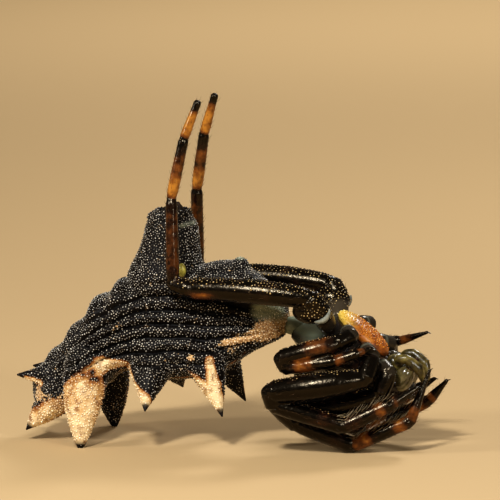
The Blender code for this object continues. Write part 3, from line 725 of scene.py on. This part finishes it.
def markAbdomen(mesh):
    places, normals = coordinates(mesh), coordinates(mesh, "normal")
    width, height = np.abs(places[:, 1]), places[:, 2] - backHeight(places)
    # cream is kept off the inner sides, which stay dark as painted shade
    outer = smoothStep(*creamLitFacing, normals[:, 1] * np.sign(places[:, 1]))
    cream = capsuleShare(places, creamPatches) * outer
    (low, lowFull), (highFull, high) = backMarks["height"]
    onBack = (1 - smoothStep(highFull, high, height)) * smoothStep(low, lowFull, height)
    onBack *= smoothStep(*backMarks["facing"], -normals[:, 2]) * (1 - smoothStep(*backMarks["width"], width))
    wave, pitch = backMarks["wave"]
    stripe = smoothStep(*backMarks["stripe"], width - wave * np.cos(places[:, 0] * pitch))
    least, more = backMarks["pale"]
    cream = np.maximum(cream, onBack * (least + more * stripe) * (places[:, 0] < backMarks["front"]))
    tip = np.zeros(len(places))
    within, beyond = tipMarks["fade"]
    for name, spine in abdomen["spines"].items():
        reach = tipMarks["large" if name == "large" else "small"]
        for side, _ in bothSides:
            distance = np.linalg.norm(places - np.array(sided(spine[1], side)), axis=1)
            tip = np.maximum(tip, 1 - smoothStep(reach - within, reach + beyond, distance))
    storeAttributes(mesh, cream=cream, tan=capsuleShare(places, tanPatches), tip=tip,
                    waxy=capsuleShare(places, waxyPatches))
    return tip


def abdomenRing(row, values):
    # a ring between an ellipse and a rectangle
    place, back, belly, wide, narrow = row
    middle, half = (back + belly) / 2, (belly - back) / 2
    power = values["squareness"]
    ring = []
    for angle in turns(values["sides"]):
        reach = (abs(math.cos(angle)) ** power + abs(math.sin(angle)) ** power) ** (-1 / power)
        up, across = reach * math.sin(angle), reach * math.cos(angle)
        width = wide + (narrow - wide) * (up + 1) / 2
        ring.append(Vector((place, width * across, middle + half * up)))
    return ring


def spinePiece(values, name, side, first=0.0, grow=0.0, sides=28, rings=18):
    root, tip, radius, bulge, fullness = values["spines"][name]
    start, end = sided(root, side), sided(tip, side)
    points, radii = [], []
    for i in range(rings + 1):
        share = first + (1 - first) * i / rings
        points.append(start.lerp(end, share) + side * crossways * bulge * math.sin(math.pi * share))
        radii.append(values["spineTip"] + grow + (radius - values["spineTip"]) * (1 - share ** fullness))
    return tubePiece("spine", points, radii, sides)


def foldFlanks(mesh, values):
    places, normals = coordinates(mesh), coordinates(mesh, "normal")
    x, z = places[:, 0], places[:, 2]
    low, high = [np.polyval(np.polyfit(*np.array(values[line]).T, 4), x) for line in ("low", "high")]
    share = (z - low) / (high - low)
    size, pitch, start = values["waver"]
    fineSize, finePitch = values["fineWaver"]
    waver = size * np.sin(x * pitch + start) + fineSize * np.sin(x * finePitch + z)
    furrow = 1 - np.abs(np.cos(math.pi * (values["count"] * share + waver))) ** values["sharpness"]
    middle, reach = values["coneReach"]
    offCone = 1 - smoothStep(*values["coneFrom"], z) * (np.abs(x - middle) < reach)
    furrow *= smoothStep(*values["rear"], x) * (1 - smoothStep(*values["front"], x))
    furrow *= smoothStep(*values["below"], share) * (1 - smoothStep(*values["above"], share))
    furrow *= smoothStep(*values["flank"], np.abs(normals[:, 1]))
    depth = values["depth"] * furrow * offCone
    for ledge, width, height in values["ledges"]:
        bump = np.exp(-((x - ledge) / width) ** 2) * smoothStep(*values["ledgeAbove"], share) * offCone
        depth -= height * bump * smoothStep(*values["ledgeFacing"], normals[:, 2])
    moveVertices(mesh, places - normals * depth[:, None])
    return furrow


def makeAbdomen(values):
    body = [abdomenRing(row, values) for row in drawnOut(values["sections"], values["steps"])]
    cone = drawnOut(values["cone"], values["coneSteps"])
    pieces = [loftPiece("body", body), tubePiece("cone", [Vector((x, 0, z)) for x, z, _ in cone],
                                                 [row[2] for row in cone], values["coneSides"], 0.0, crossways)]
    for side, _ in bothSides:
        pieces += [spinePiece(values, name, side) for name in values["spines"]]
        place, size = values["plate"]
        pieces.append(roundPiece("plate", sided(place, side), size))
    pieces += [roundPiece(name, *values[name]) for name in ("epigynum", "analTubercle")]
    skin = remeshed(united("abdomen", pieces), values)
    mesh = skin.data
    furrow = foldFlanks(mesh, folds)
    places = coordinates(mesh)
    # the rim of the cone is pressed in round the spinnerets
    dish = np.hypot(places[:, 0] - values["cone"][-1][0], places[:, 1]) < values["craterRadius"]
    dish &= places[:, 2] > values["craterFloor"]
    places[dish, 2] = values["craterFloor"]
    places[:, 2] = np.maximum(places[:, 2], drawing["floor"])
    moveVertices(mesh, places)
    cover = grainCover
    grain = (1 - cover["tip"] * markAbdomen(mesh)) * (1 - smoothStep(*cover["furrow"], furrow))
    grain *= 1 - cover["plate"] * capsuleShare(places, (values["smoothPlate"],))
    grain *= 1 - cover["back"] * (1 - smoothStep(*cover["backFade"], places[:, 2] - backHeight(places)))
    # the furrows' bottoms are painted near black, as painted shade
    storeAttributes(mesh, grain=np.clip(grain, 0, 1), furrow=smoothStep(*cover["furrowPaintedShade"], furrow))
    return skin


def splitGrains(piece, parts):
    # shares the grains out by their place along the abdomen, so that each piece stays light
    places = coordinates(piece.data).reshape(-1, copyCorners, 3)
    order = np.argsort(places[:, 0, 0], kind="stable")
    corners = np.empty(len(piece.data.loops), dtype=np.int32)
    piece.data.loops.foreach_get("vertex_index", corners)
    faces = corners.reshape(len(places), -1, 3)[0]  # those of the first grain, which all grains have
    pieces = []
    for part in range(parts):
        chosen = np.sort(order[part * len(order) // parts:(part + 1) * len(order) // parts])
        mine = faces + copyCorners * np.arange(len(chosen))[:, None, None]
        mesh = bpy.data.meshes.new("abdomenGrains")
        mesh.from_pydata(places[chosen].reshape(-1, 3).tolist(), [], mine.reshape(-1, 3).tolist())
        pieces.append(newObject(f"abdomenGrains{part + 1}", mesh))
    removePiece(piece)
    return pieces


# these grains and the legs' are drawn about a third coarser and farther apart than life, or they wouldn't show
grains = {"Spacing": 0.06, "Size": 0.029, "Height": 1.25, "Seed": 4}
tubercle = {"place": (0.14, 0.92, 5.12), "size": (0.12, 0.12, 0.2)}
abdomenSkin = makeAbdomen(abdomen)
print("abdomen skin", len(abdomenSkin.data.polygons))
for piece in splitGrains(scatter(abdomenSkin, grainTree, "abdomenGrains", grains, None), 5):
    markAbdomen(piece.data)
    markPaintedGlints(piece.data)
    bakeMap(piece.data, unwrapBody)
    finishPiece(piece, piece.name, "chitinAbdomenGrains", "abdomen")
points = united("spinePoints", [spinePiece(abdomen, name, side, abdomen["pointFrom"], abdomen["pointGrow"], 20, 8)
                                for name in abdomen["spines"] for side, _ in bothSides])
pressToFloor(points.data)
markAbdomen(points.data)
for side, sideName in bothSides:
    finishPiece(roundPiece("tubercle", sided(tubercle["place"], side), tubercle["size"]), f"tubercle_{sideName}",
                "softTubercle", "abdomen")
finishPiece(points, "spinePoints", "chitinAbdomenCuticle", "abdomen")
finishPiece(abdomenSkin, "abdomenSkin", "chitinAbdomenCuticle", "abdomen")
print("abdomen finished")

# legs; joints from the body to the tip with their radii, the fourth in the middle of the femur
legJoints = {
    1: ((5.7, 0.66, 2.66, 0.22), (6.0, 0.98, 2.44, 0.27), (5.8, 1.12, 1.9, 0.26), (4.4, 1.2, 1.44, 0.32),
        (2.98, 1.28, 1.38, 0.25), (3.48, 1.3, 1.0, 0.26), (5.0, 1.06, 0.4, 0.22), (6.6, 0.84, 1.1, 0.18),
        (7.06, 0.5, 2.46, 0.05)),
    2: ((5.3, 0.74, 3.1, 0.22), (5.56, 1.2, 2.9, 0.28), (5.46, 1.62, 2.36, 0.27), (4.2, 2.02, 2.16, 0.35),
        (2.92, 2.02, 1.96, 0.28), (3.0, 1.98, 1.6, 0.25), (4.9, 1.66, 1.02, 0.23), (6.14, 1.28, 1.62, 0.19),
        (6.8, 0.98, 2.06, 0.06)),
    3: ((4.8, 0.8, 3.56, 0.22), (4.98, 1.22, 3.46, 0.26), (4.7, 1.5, 3.3, 0.23), (3.9, 1.74, 3.08, 0.26),
        (3.16, 1.8, 2.88, 0.22), (3.3, 1.84, 2.62, 0.2), (4.64, 1.72, 2.82, 0.17), (5.26, 1.6, 3.06, 0.13),
        (5.62, 1.4, 3.2, 0.05)),
    4: ((4.24, 0.7, 3.66, 0.27), (4.12, 1.28, 4.2, 0.3), (3.9, 1.42, 4.5, 0.3), (2.1, 1.52, 4.66, 0.32),
        (0.46, 1.52, 4.68, 0.26), (0.02, 1.46, 4.8, 0.2), (-0.1, 1.14, 7.14, 0.16), (0.22, 0.95, 8.8, 0.14),
        (0.56, 0.84, 9.74, 0.11))}
rightEnds = {
    2: ((5.26, 1.62, 0.92, 0.24), (6.26, 1.44, 1.6, 0.18), (6.88, 1.12, 2.0, 0.06)),
    1: ((5.0, 1.06, 0.4, 0.22), (6.78, 1.0, 1.42, 0.17), (7.26, 0.94, 1.98, 0.06)),
    3: ((4.64, 1.76, 2.82, 0.17), (5.76, 1.9, 2.92, 0.14), (6.56, 1.64, 3.22, 0.05)),
    4: ((0.06, 1.2, 7.14, 0.17), (0.32, 1.02, 8.74, 0.15), (0.64, 0.88, 9.76, 0.11))}
legShape = {"sides": 20, "rings": 14, "keel": 0.12, "overlap": 0.3, "voxel": 0.034, "smoothing": 4,
            "trochanter": ((3.9, 1.24, 4.13), (0.55, 0.34, 0.35))}
# share of a segment's length, share of its radius
segmentProfile = ((0.0, 0.66), (0.04, 0.82), (0.12, 0.93), (0.3, 1.0), (0.6, 1.0), (0.82, 0.97), (0.92, 1.02),
                  (0.97, 0.92), (1.0, 0.7))
tarsusProfile = ((0.0, 0.7), (0.06, 0.9), (0.25, 1.0), (0.6, 0.94), (0.9, 0.9), (1.0, 1.0))


def jointsOf(number, side):
    joints = legJoints[number]
    if side > 0 and number in rightEnds:
        joints = joints[:-3] + rightEnds[number]
    return [(sided(joint, side), joint[3]) for joint in joints]


def legSegment(first, last, profile=segmentProfile, keel=legShape["keel"], middle=None):
    # from joint to joint, by way of the middle one where the segment bows
    (start, radius), (end, endRadius) = first, last
    way = (end - start).normalized()
    bow, swell = Vector(), 0.0
    if middle:
        bow, swell = middle[0] - start.lerp(end, 0.5), middle[1] - (radius + endRadius) / 2
    start, end = start - way * radius * legShape["overlap"], end + way * endRadius * legShape["overlap"]
    points, radii = [], []
    for i in range(legShape["rings"] + 1):
        share = i / legShape["rings"]
        thick = radius + (endRadius - radius) * share + swell * 4 * share * (1 - share)
        points.append(start.lerp(end, share) + bow * 4 * share * (1 - share))
        radii.append(thick * np.interp(share, *zip(*profile)))
    return tubePiece("segment", points, radii, legShape["sides"], keel)


def makeLeg(number, side):
    joints = jointsOf(number, side)
    segments, axes = [], []
    for i, j in ((0, 1), (1, 2), (2, 4), (4, 5), (5, 6), (6, 7), (7, 8)):
        segments.append(legSegment(joints[i], joints[j], tarsusProfile if j == 8 else segmentProfile,
                                   0.0 if j < 3 else legShape["keel"], joints[3] if i == 2 else None))
        axes.append((joints[i][0], joints[j][0]))
    if number == 4:
        place, size = legShape["trochanter"]
        segments.append(roundPiece("trochanter", sided(place, side), size))
    return remeshed(united("leg", segments), legShape), axes


# where the leg cuticle is clear: segment, from and to as shares of its length, and how amber
amberBands = {
    1: ((4, 0.55, 0.85, 0.34), (5, 0.0, 0.36, 0.72), (5, 0.7, 0.95, 0.74), (6, 0.0, 0.3, 0.74)),
    2: ((4, 0.6, 0.8, 0.4), (5, 0.05, 0.35, 0.44), (5, 0.62, 0.88, 0.72), (6, 0.0, 0.3, 0.5)),
    3: ((2, 0.1, 0.6, 0.52), (4, 0.15, 0.6, 0.72), (5, 0.0, 0.5, 0.6), (6, 0.0, 0.5, 0.64)),
    4: ((2, 0.34, 0.4, 0.38), (2, 0.82, 0.94, 1.1), (4, 0.1, 0.92, 0.52), (5, 0.0, 0.42, 0.94),
        (5, 0.42, 0.76, 0.62), (6, 0.0, 0.82, 0.92))}
legMarks = {"amber": 0.06, "fade": (0.18, 0.14), "hair": (0.1, 0.2, 0.25, 0.3, 0.8, 1.0, 1.0),
            "grain": (0.0, 0.6, 1.0, 0.9, 0.6, 0.3, 0.0), "litFacing": (0.72, 0.92), "smoky": 0.4,
            "ringPale": 0.2, "ringFrom": (0.22, 0.32), "ringTo": (0.4, 0.5)}
# on the hind leg the clear spot near the knee is on the underside, and the bulb in the socket is smoky and grainy
hindMarks = {"litFacing": (0.1, 0.7), "grain": 0.85, "knee": 0.1, "kneeFrom": (0.62, 0.72), "kneeUp": (4.54, 4.72),
             "smoky": 0.85, "smokyTo": (0.45, 0.75), "bulb": (0.46, 0.66), "bulbUp": (3.86, 4.06), "bulbGrain": 0.8}


def markLeg(mesh, number, side, axes):
    places = coordinates(mesh)
    nearest = np.full(len(places), 1e9)
    segment, share = np.zeros(len(places), dtype=int), np.zeros(len(places))
    ways = np.zeros((len(places), 3))
    for index, (start, end) in enumerate(axes):
        start, way = np.array(start), np.array(end) - np.array(start)
        step = np.clip((places - start) @ way / (way @ way), 0, 1)
        distance = np.linalg.norm(places - start - step[:, None] * way, axis=1)
        nearer = distance < nearest
        nearest[nearer] = distance[nearer]
        segment[nearer], share[nearer] = index, step[nearer]
        ways[nearer] = way / np.linalg.norm(way)
    amber = np.full(len(places), legMarks["amber"])
    before, inside = legMarks["fade"]
    for band, low, high, strength in amberBands[number]:
        clear = (segment == band) * smoothStep(low - before, low + inside, share)
        clear = clear * (1 - smoothStep(high - inside, high + before, share))
        amber = np.maximum(amber, clear * strength)
    facing = coordinates(mesh, "normal")[:, 2]
    if number == 4:
        top = (segment == 2) * smoothStep(*hindMarks["kneeFrom"], share)
        top = top * smoothStep(*hindMarks["kneeUp"], places[:, 2])
        amber += (hindMarks["knee"] - amber) * top
        pale = np.zeros(len(places))
        smoky = hindMarks["smoky"] * (segment == 0) * (1 - smoothStep(*hindMarks["smokyTo"], share))
        # grains with painted glints are kept to faces turned up to the light, as painted highlight
        grain = np.choose(segment, legMarks["grain"]) * hindMarks["grain"] * smoothStep(*hindMarks["litFacing"], facing)
        socket = np.array(sided(legJoints[4][1], side))
        bulb = 1 - smoothStep(*hindMarks["bulb"], np.linalg.norm(places - socket, axis=1))
        bulb *= smoothStep(*hindMarks["bulbUp"], places[:, 2])
        grain = np.maximum(grain, hindMarks["bulbGrain"] * bulb)
    else:
        ring = smoothStep(*legMarks["ringFrom"], share) * (1 - smoothStep(*legMarks["ringTo"], share))
        pale = (segment == 0) * ring * legMarks["ringPale"]
        smoky = (segment == 0) * legMarks["smoky"]
        # grains with painted glints are kept to faces turned up to the light, as painted highlight
        grain = np.choose(segment, legMarks["grain"]) * smoothStep(*legMarks["litFacing"], facing)
    storeAttributes(mesh, amber=amber, pale=pale, smoky=smoky, hair=np.choose(segment, legMarks["hair"]),
                    grain=grain, way=ways)
    return segment, share


bristles = {"Spacing": 0.12, "Length": 0.15, "Thickness": 0.005, "Lean": 1.8, "Wander": 0.25}
combHairs = {"Spacing": 0.075, "Length": 0.3, "Thickness": 0.004, "Lean": 1.6, "Wander": 0.08}
legGrains = {"Spacing": 0.078, "Size": 0.03, "Height": 0.8}
# comb hairs stand along the metatarsus and the end of the tibia, where these face up
combRow = {"metatarsus": 5, "tibia": 4, "tibiaFrom": 0.85, "facing": 0.45}
claw = {"length": 0.1, "apart": 0.03, "hook": 0.05, "steps": (0, 0.4, 0.8, 1.1),
        "radii": (0.022, 0.018, 0.012, 0.005)}


def clawPieces(number, side, values):
    tip, before = [place for place, _ in reversed(jointsOf(number, side)[-2:])]
    way = (tip - before).normalized()
    across = way.cross(crossways).normalized()
    claws = []
    for lean in (-1, 1):
        points = [tip + way * (values["length"] * t) + Vector((0, lean * values["apart"], 0)) * t
                  - across * (values["hook"] * t * t) for t in values["steps"]]
        claws.append(tubePiece("claw", points, values["radii"], 8))
    return claws


# the pale soft rim of the hind leg's socket, seen as a crescent below the trochanter
socketRim = {"radius": 0.315, "outward": 0.15, "from": 5, "to": -125, "steps": 12, "sides": 12, "thickness": 0.08,
             "ends": 0.25}


def socketRimPiece(values, side):
    middle = sided(legJoints[4][1], side) + side * crossways * values["outward"]
    points, radii = [], []
    for i in range(values["steps"] + 1):
        share = i / values["steps"]
        angle = math.radians(values["from"] + (values["to"] - values["from"]) * share)
        points.append(middle + Vector((math.cos(angle), 0.0, math.sin(angle))) * values["radius"])
        radii.append(values["thickness"] * (values["ends"] + (1 - values["ends"]) * math.sin(math.pi * share)))
    return tubePiece("socketRim", points, radii, values["sides"], 0.0, crossways)


def dressLeg(number, side, sideName):
    leg, axes = makeLeg(number, side)
    pressToFloor(leg.data)
    segment, share = markLeg(leg.data, number, side, axes)
    hairs = scatter(leg, bristleTree, "hairs", dict(bristles, Seed=number * 2 + side))
    beads = scatter(leg, grainTree, "beads", dict(legGrains, Seed=number * 3 + side))
    markLeg(beads.data, number, side, axes)
    markPaintedGlints(beads.data)
    made = [(beads, "Grains", "chitinLegGrains")]
    if number < 3:
        row = (segment == combRow["tibia"]) & (share > combRow["tibiaFrom"]) | (segment == combRow["metatarsus"])
        row &= coordinates(leg.data, "normal")[:, 2] > combRow["facing"]
        storeAttributes(leg.data, hair=row)
        made.append((scatter(leg, bristleTree, "comb", dict(combHairs, Seed=number)), "Comb", "chitinCombHairs"))
    claws = united("claws", clawPieces(number, side, claw))
    markLeg(claws.data, number, side, axes)
    made += [(hairs, "Bristles", "chitinBristles"), (claws, "Claws", "chitinLegCuticle"),
             (leg, "", "chitinLegCuticle")]
    for piece, kind, material in made:
        finishPiece(piece, f"leg{number}{kind}_{sideName}", material, "legs", f"leg_{sideName}_{number}")


for side, sideName in bothSides:
    finishPiece(socketRimPiece(socketRim, side), f"socketRim_{sideName}", "paleMembrane", "legs",
                f"leg_{sideName}_4")
    for number in legJoints:
        dressLeg(number, side, sideName)
    print("legs", sideName)

# cephalothorax; sections: place along it, height towards the belly, depth towards the back, half width
head = {"rear": (3.2, 0.0, 3.38), "front": (6.58, 0.0, 1.86), "steps": 6, "sides": 64,
        "sections": ((-0.06, 0.24, 0.22, 0.24), (0.16, 0.36, 0.34, 0.4), (0.5, 0.62, 0.6, 0.74),
                     (0.95, 0.92, 0.8, 1.0), (1.5, 0.86, 0.86, 1.04), (2.1, 0.66, 0.8, 0.92),
                     (2.6, 0.46, 0.7, 0.74), (3.1, 0.28, 0.6, 0.6), (3.48, 0.16, 0.46, 0.48),
                     (3.62, 0.09, 0.3, 0.34), (3.7, 0.03, 0.14, 0.16)),
        "waxyFade": (0.55, 0.95), "waxyLitFacing": (-0.1, 0.55), "waxyShadedLeast": 0.1, "hairFrom": (0.9, 1.8),
        "hairWay": (1.0, 0.0, -0.5),
        "hairs": {"Spacing": 0.13, "Length": 0.14, "Thickness": 0.0055, "Lean": 1.2, "Wander": 0.25, "Seed": 5}}


def dressHead(values):
    rear = Vector(values["rear"])
    forward = (Vector(values["front"]) - rear).normalized()
    belly = Vector((-forward.z, 0.0, forward.x))
    rings = []
    for place, height, depth, width in drawnOut(values["sections"], values["steps"]):
        ring = []
        for angle in turns(values["sides"]):
            up = math.sin(angle) * (height if math.sin(angle) > 0 else depth)
            ring.append(rear + forward * place + belly * up + crossways * (width * math.cos(angle)))
        rings.append(ring)
    skin = loftPiece("carapace", rings)
    places = coordinates(skin.data)
    along = (places - np.array(rear)) @ np.array(forward)
    facing = coordinates(skin.data, "normal") @ np.array(belly)
    # the pale waxy rear slope is painted darker where it faces down, away from the light, as painted shade
    least = values["waxyShadedLeast"]
    waxy = least + (1 - least) * smoothStep(*values["waxyLitFacing"], facing)
    waxy *= 1 - smoothStep(*values["waxyFade"], along)
    hair = smoothStep(*values["hairFrom"], places[:, 0] - values["rear"][0])
    storeAttributes(skin.data, waxy=waxy, hair=hair, way=np.tile(values["hairWay"], (len(places), 1)))
    hairs = scatter(skin, bristleTree, "headBristles", values["hairs"])
    finishPiece(hairs, "carapaceBristles", "chitinBristles", "cephalothorax")
    finishPiece(skin, "carapace", "chitinCarapace", "cephalothorax")


dressHead(head)
pedicel = {"place": (3.1, 0.0, 3.54), "size": (0.34, 0.26, 0.26)}
finishPiece(roundPiece("pedicel", pedicel["place"], pedicel["size"]), "pedicel", "softMembrane", "pedicel")

sternum = {"shape": ((5.1, 0.0, 3.38), (0.9, 0.56, 0.27), 40, 48, 32), "yellow": (4.45, 5.15),
           "beads": {"Spacing": 0.07, "Size": 0.032, "Height": 1.1, "Seed": 9}}


def makeSternum(values):
    plate = roundPiece("sternum", *values["shape"])
    storeAttributes(plate.data, grain=smoothStep(0.1, 0.5, coordinates(plate.data, "normal")[:, 2]))
    beads = scatter(plate, grainTree, "sternumBeads", values["beads"])
    for piece, name, material in ((beads, "sternumBeads", "chitinSternumBeads"), (plate, "sternum", "chitinSternum")):
        storeAttributes(piece.data, waxy=1 - smoothStep(*values["yellow"], coordinates(piece.data)[:, 0]))
        finishPiece(piece, name, material, "sternum")


makeSternum(sternum)

# two endites and the labium between them
mouth = {"slope": 40, "endite": ((6.03, 0.21, 2.63), (0.24, 0.21, 0.2)),
         "labium": ((5.96, 0.0, 2.66), (0.18, 0.2, 0.18)), "voxel": 0.03, "smoothing": 4}


def makeMouth(values):
    place, size = values["endite"]
    pieces = [roundPiece("endite", sided(place, side), size, values["slope"]) for side, _ in bothSides]
    pieces.append(roundPiece("labium", *values["labium"], values["slope"]))
    return remeshed(united("mouthparts", pieces), values)


finishPiece(makeMouth(mouth), "mouthparts", "chitinMouthparts", "mouthparts")

# chelicerae, each with its fang folded across the end
chelicera = {"place": (6.3, 0.34, 2.21), "size": (0.28, 0.28, 0.43), "slope": 24,
             "fang": ((6.5, 0.46, 2.54, 0.07), (6.54, 0.34, 2.64, 0.065), (6.52, 0.2, 2.66, 0.045),
                      (6.48, 0.09, 2.6, 0.014))}
palp = {"joints": ((6.16, 0.52, 2.77, 0.12), (6.43, 0.52, 2.78, 0.14), (6.76, 0.46, 2.5, 0.15),
                   (6.87, 0.34, 2.12, 0.06)),
        "hairs": {"Spacing": 0.09, "Length": 0.12}, "hairWay": (0.5, 0.0, -0.6), "voxel": 0.03, "smoothing": 4}


def makePalp(values, side):
    joints = [(sided(joint, side), joint[3]) for joint in values["joints"]]
    return remeshed(united("palp", [legSegment(*pair) for pair in zip(joints, joints[1:])]), values)


for side, sideName in bothSides:
    node = f"chelicera_{sideName}"
    jaw = roundPiece("chelicera", sided(chelicera["place"], side), chelicera["size"], chelicera["slope"])
    fang = tubePiece("fang", [sided(p, side) for p in chelicera["fang"]], [p[3] for p in chelicera["fang"]], 12)
    finishPiece(jaw, node, "chitinChelicera", "chelicerae", node)
    finishPiece(fang, f"fang_{sideName}", "chitinFangs", "chelicerae", node)
    node = f"palp_{sideName}"
    skin = makePalp(palp, side)
    count = len(skin.data.vertices)
    storeAttributes(skin.data, hair=np.ones(count), way=np.tile(palp["hairWay"], (count, 1)))
    hairs = scatter(skin, bristleTree, "palpHairs", dict(bristles, **palp["hairs"], Seed=3 + side))
    finishPiece(hairs, f"palpBristles_{sideName}", "chitinBristles", "palps", node)
    finishPiece(skin, node, "chitinMouthparts", "palps", node)
print("head finished")

# spinnerets: place across and along the rim, radius and height of each, and their tapering outline
spinnerets = {"rim": (-0.33, 0.0, 6.29), "baseHeight": 0.14, "baseRadii": (0.34, 0.3), "foot": 0.05, "lean": -0.35,
              "cones": ((0.17, 0.17, 0.17, 0.5), (0.17, -0.17, 0.17, 0.5), (-0.18, 0.15, 0.16, 0.44),
                        (-0.18, -0.15, 0.16, 0.44)),
              "outline": ((0.0, 1.0), (0.3, 1.0), (0.6, 0.92), (0.8, 0.78), (1.0, 0.4)), "sharp": 50}


def makeSpinnerets(values):
    rim = Vector(values["rim"])
    top = rim + Vector((0, 0, values["baseHeight"]))
    pieces = [tubePiece("base", [rim, top], values["baseRadii"], 32, 0.0, crossways)]
    for along, across, radius, height in values["cones"]:
        foot = rim + Vector((along, across, values["foot"]))
        way = Vector((values["lean"] * along, values["lean"] * across, height))
        pieces.append(tubePiece("spinneret", [foot + way * share for share, _ in values["outline"]],
                                [radius * size for _, size in values["outline"]], 20, 0.0, crossways))
    return united("spinnerets", pieces)


finishPiece(makeSpinnerets(spinnerets), "spinnerets", "chitinCarapace", "spinnerets", sharp=spinnerets["sharp"])

# eyes, each lens in a low collar
eyes = {"size": 1.05, "faceMiddle": (5.9, 0.0, 2.1), "sunk": 0.5, "rim": 1.22, "segments": 20, "rings": 12}


def makeEye(node, values):
    low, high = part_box(node)
    middle = toModel.inverted() @ ((low + high) / 2)
    radius = (high - low).length / 2 / math.sqrt(3) / drawing["millimetre"] * values["size"]
    inward = (Vector(values["faceMiddle"]) - middle).normalized()
    detail = (0.0, values["segments"], values["rings"])
    lens = roundPiece("lens", middle, (radius,) * 3, *detail)
    rim = roundPiece("eyeRim", middle + inward * radius * values["sunk"], (radius * values["rim"],) * 3, *detail)
    finishPiece(lens, "lens_" + node, "polishedEyeLens", "eyes", node)
    finishPiece(rim, "rim_" + node, "chitinEyeRims", "eyes", "cephalothorax")


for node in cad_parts:
    if node.startswith("eye_"):
        makeEye(node, eyes)
print("pieces finished")
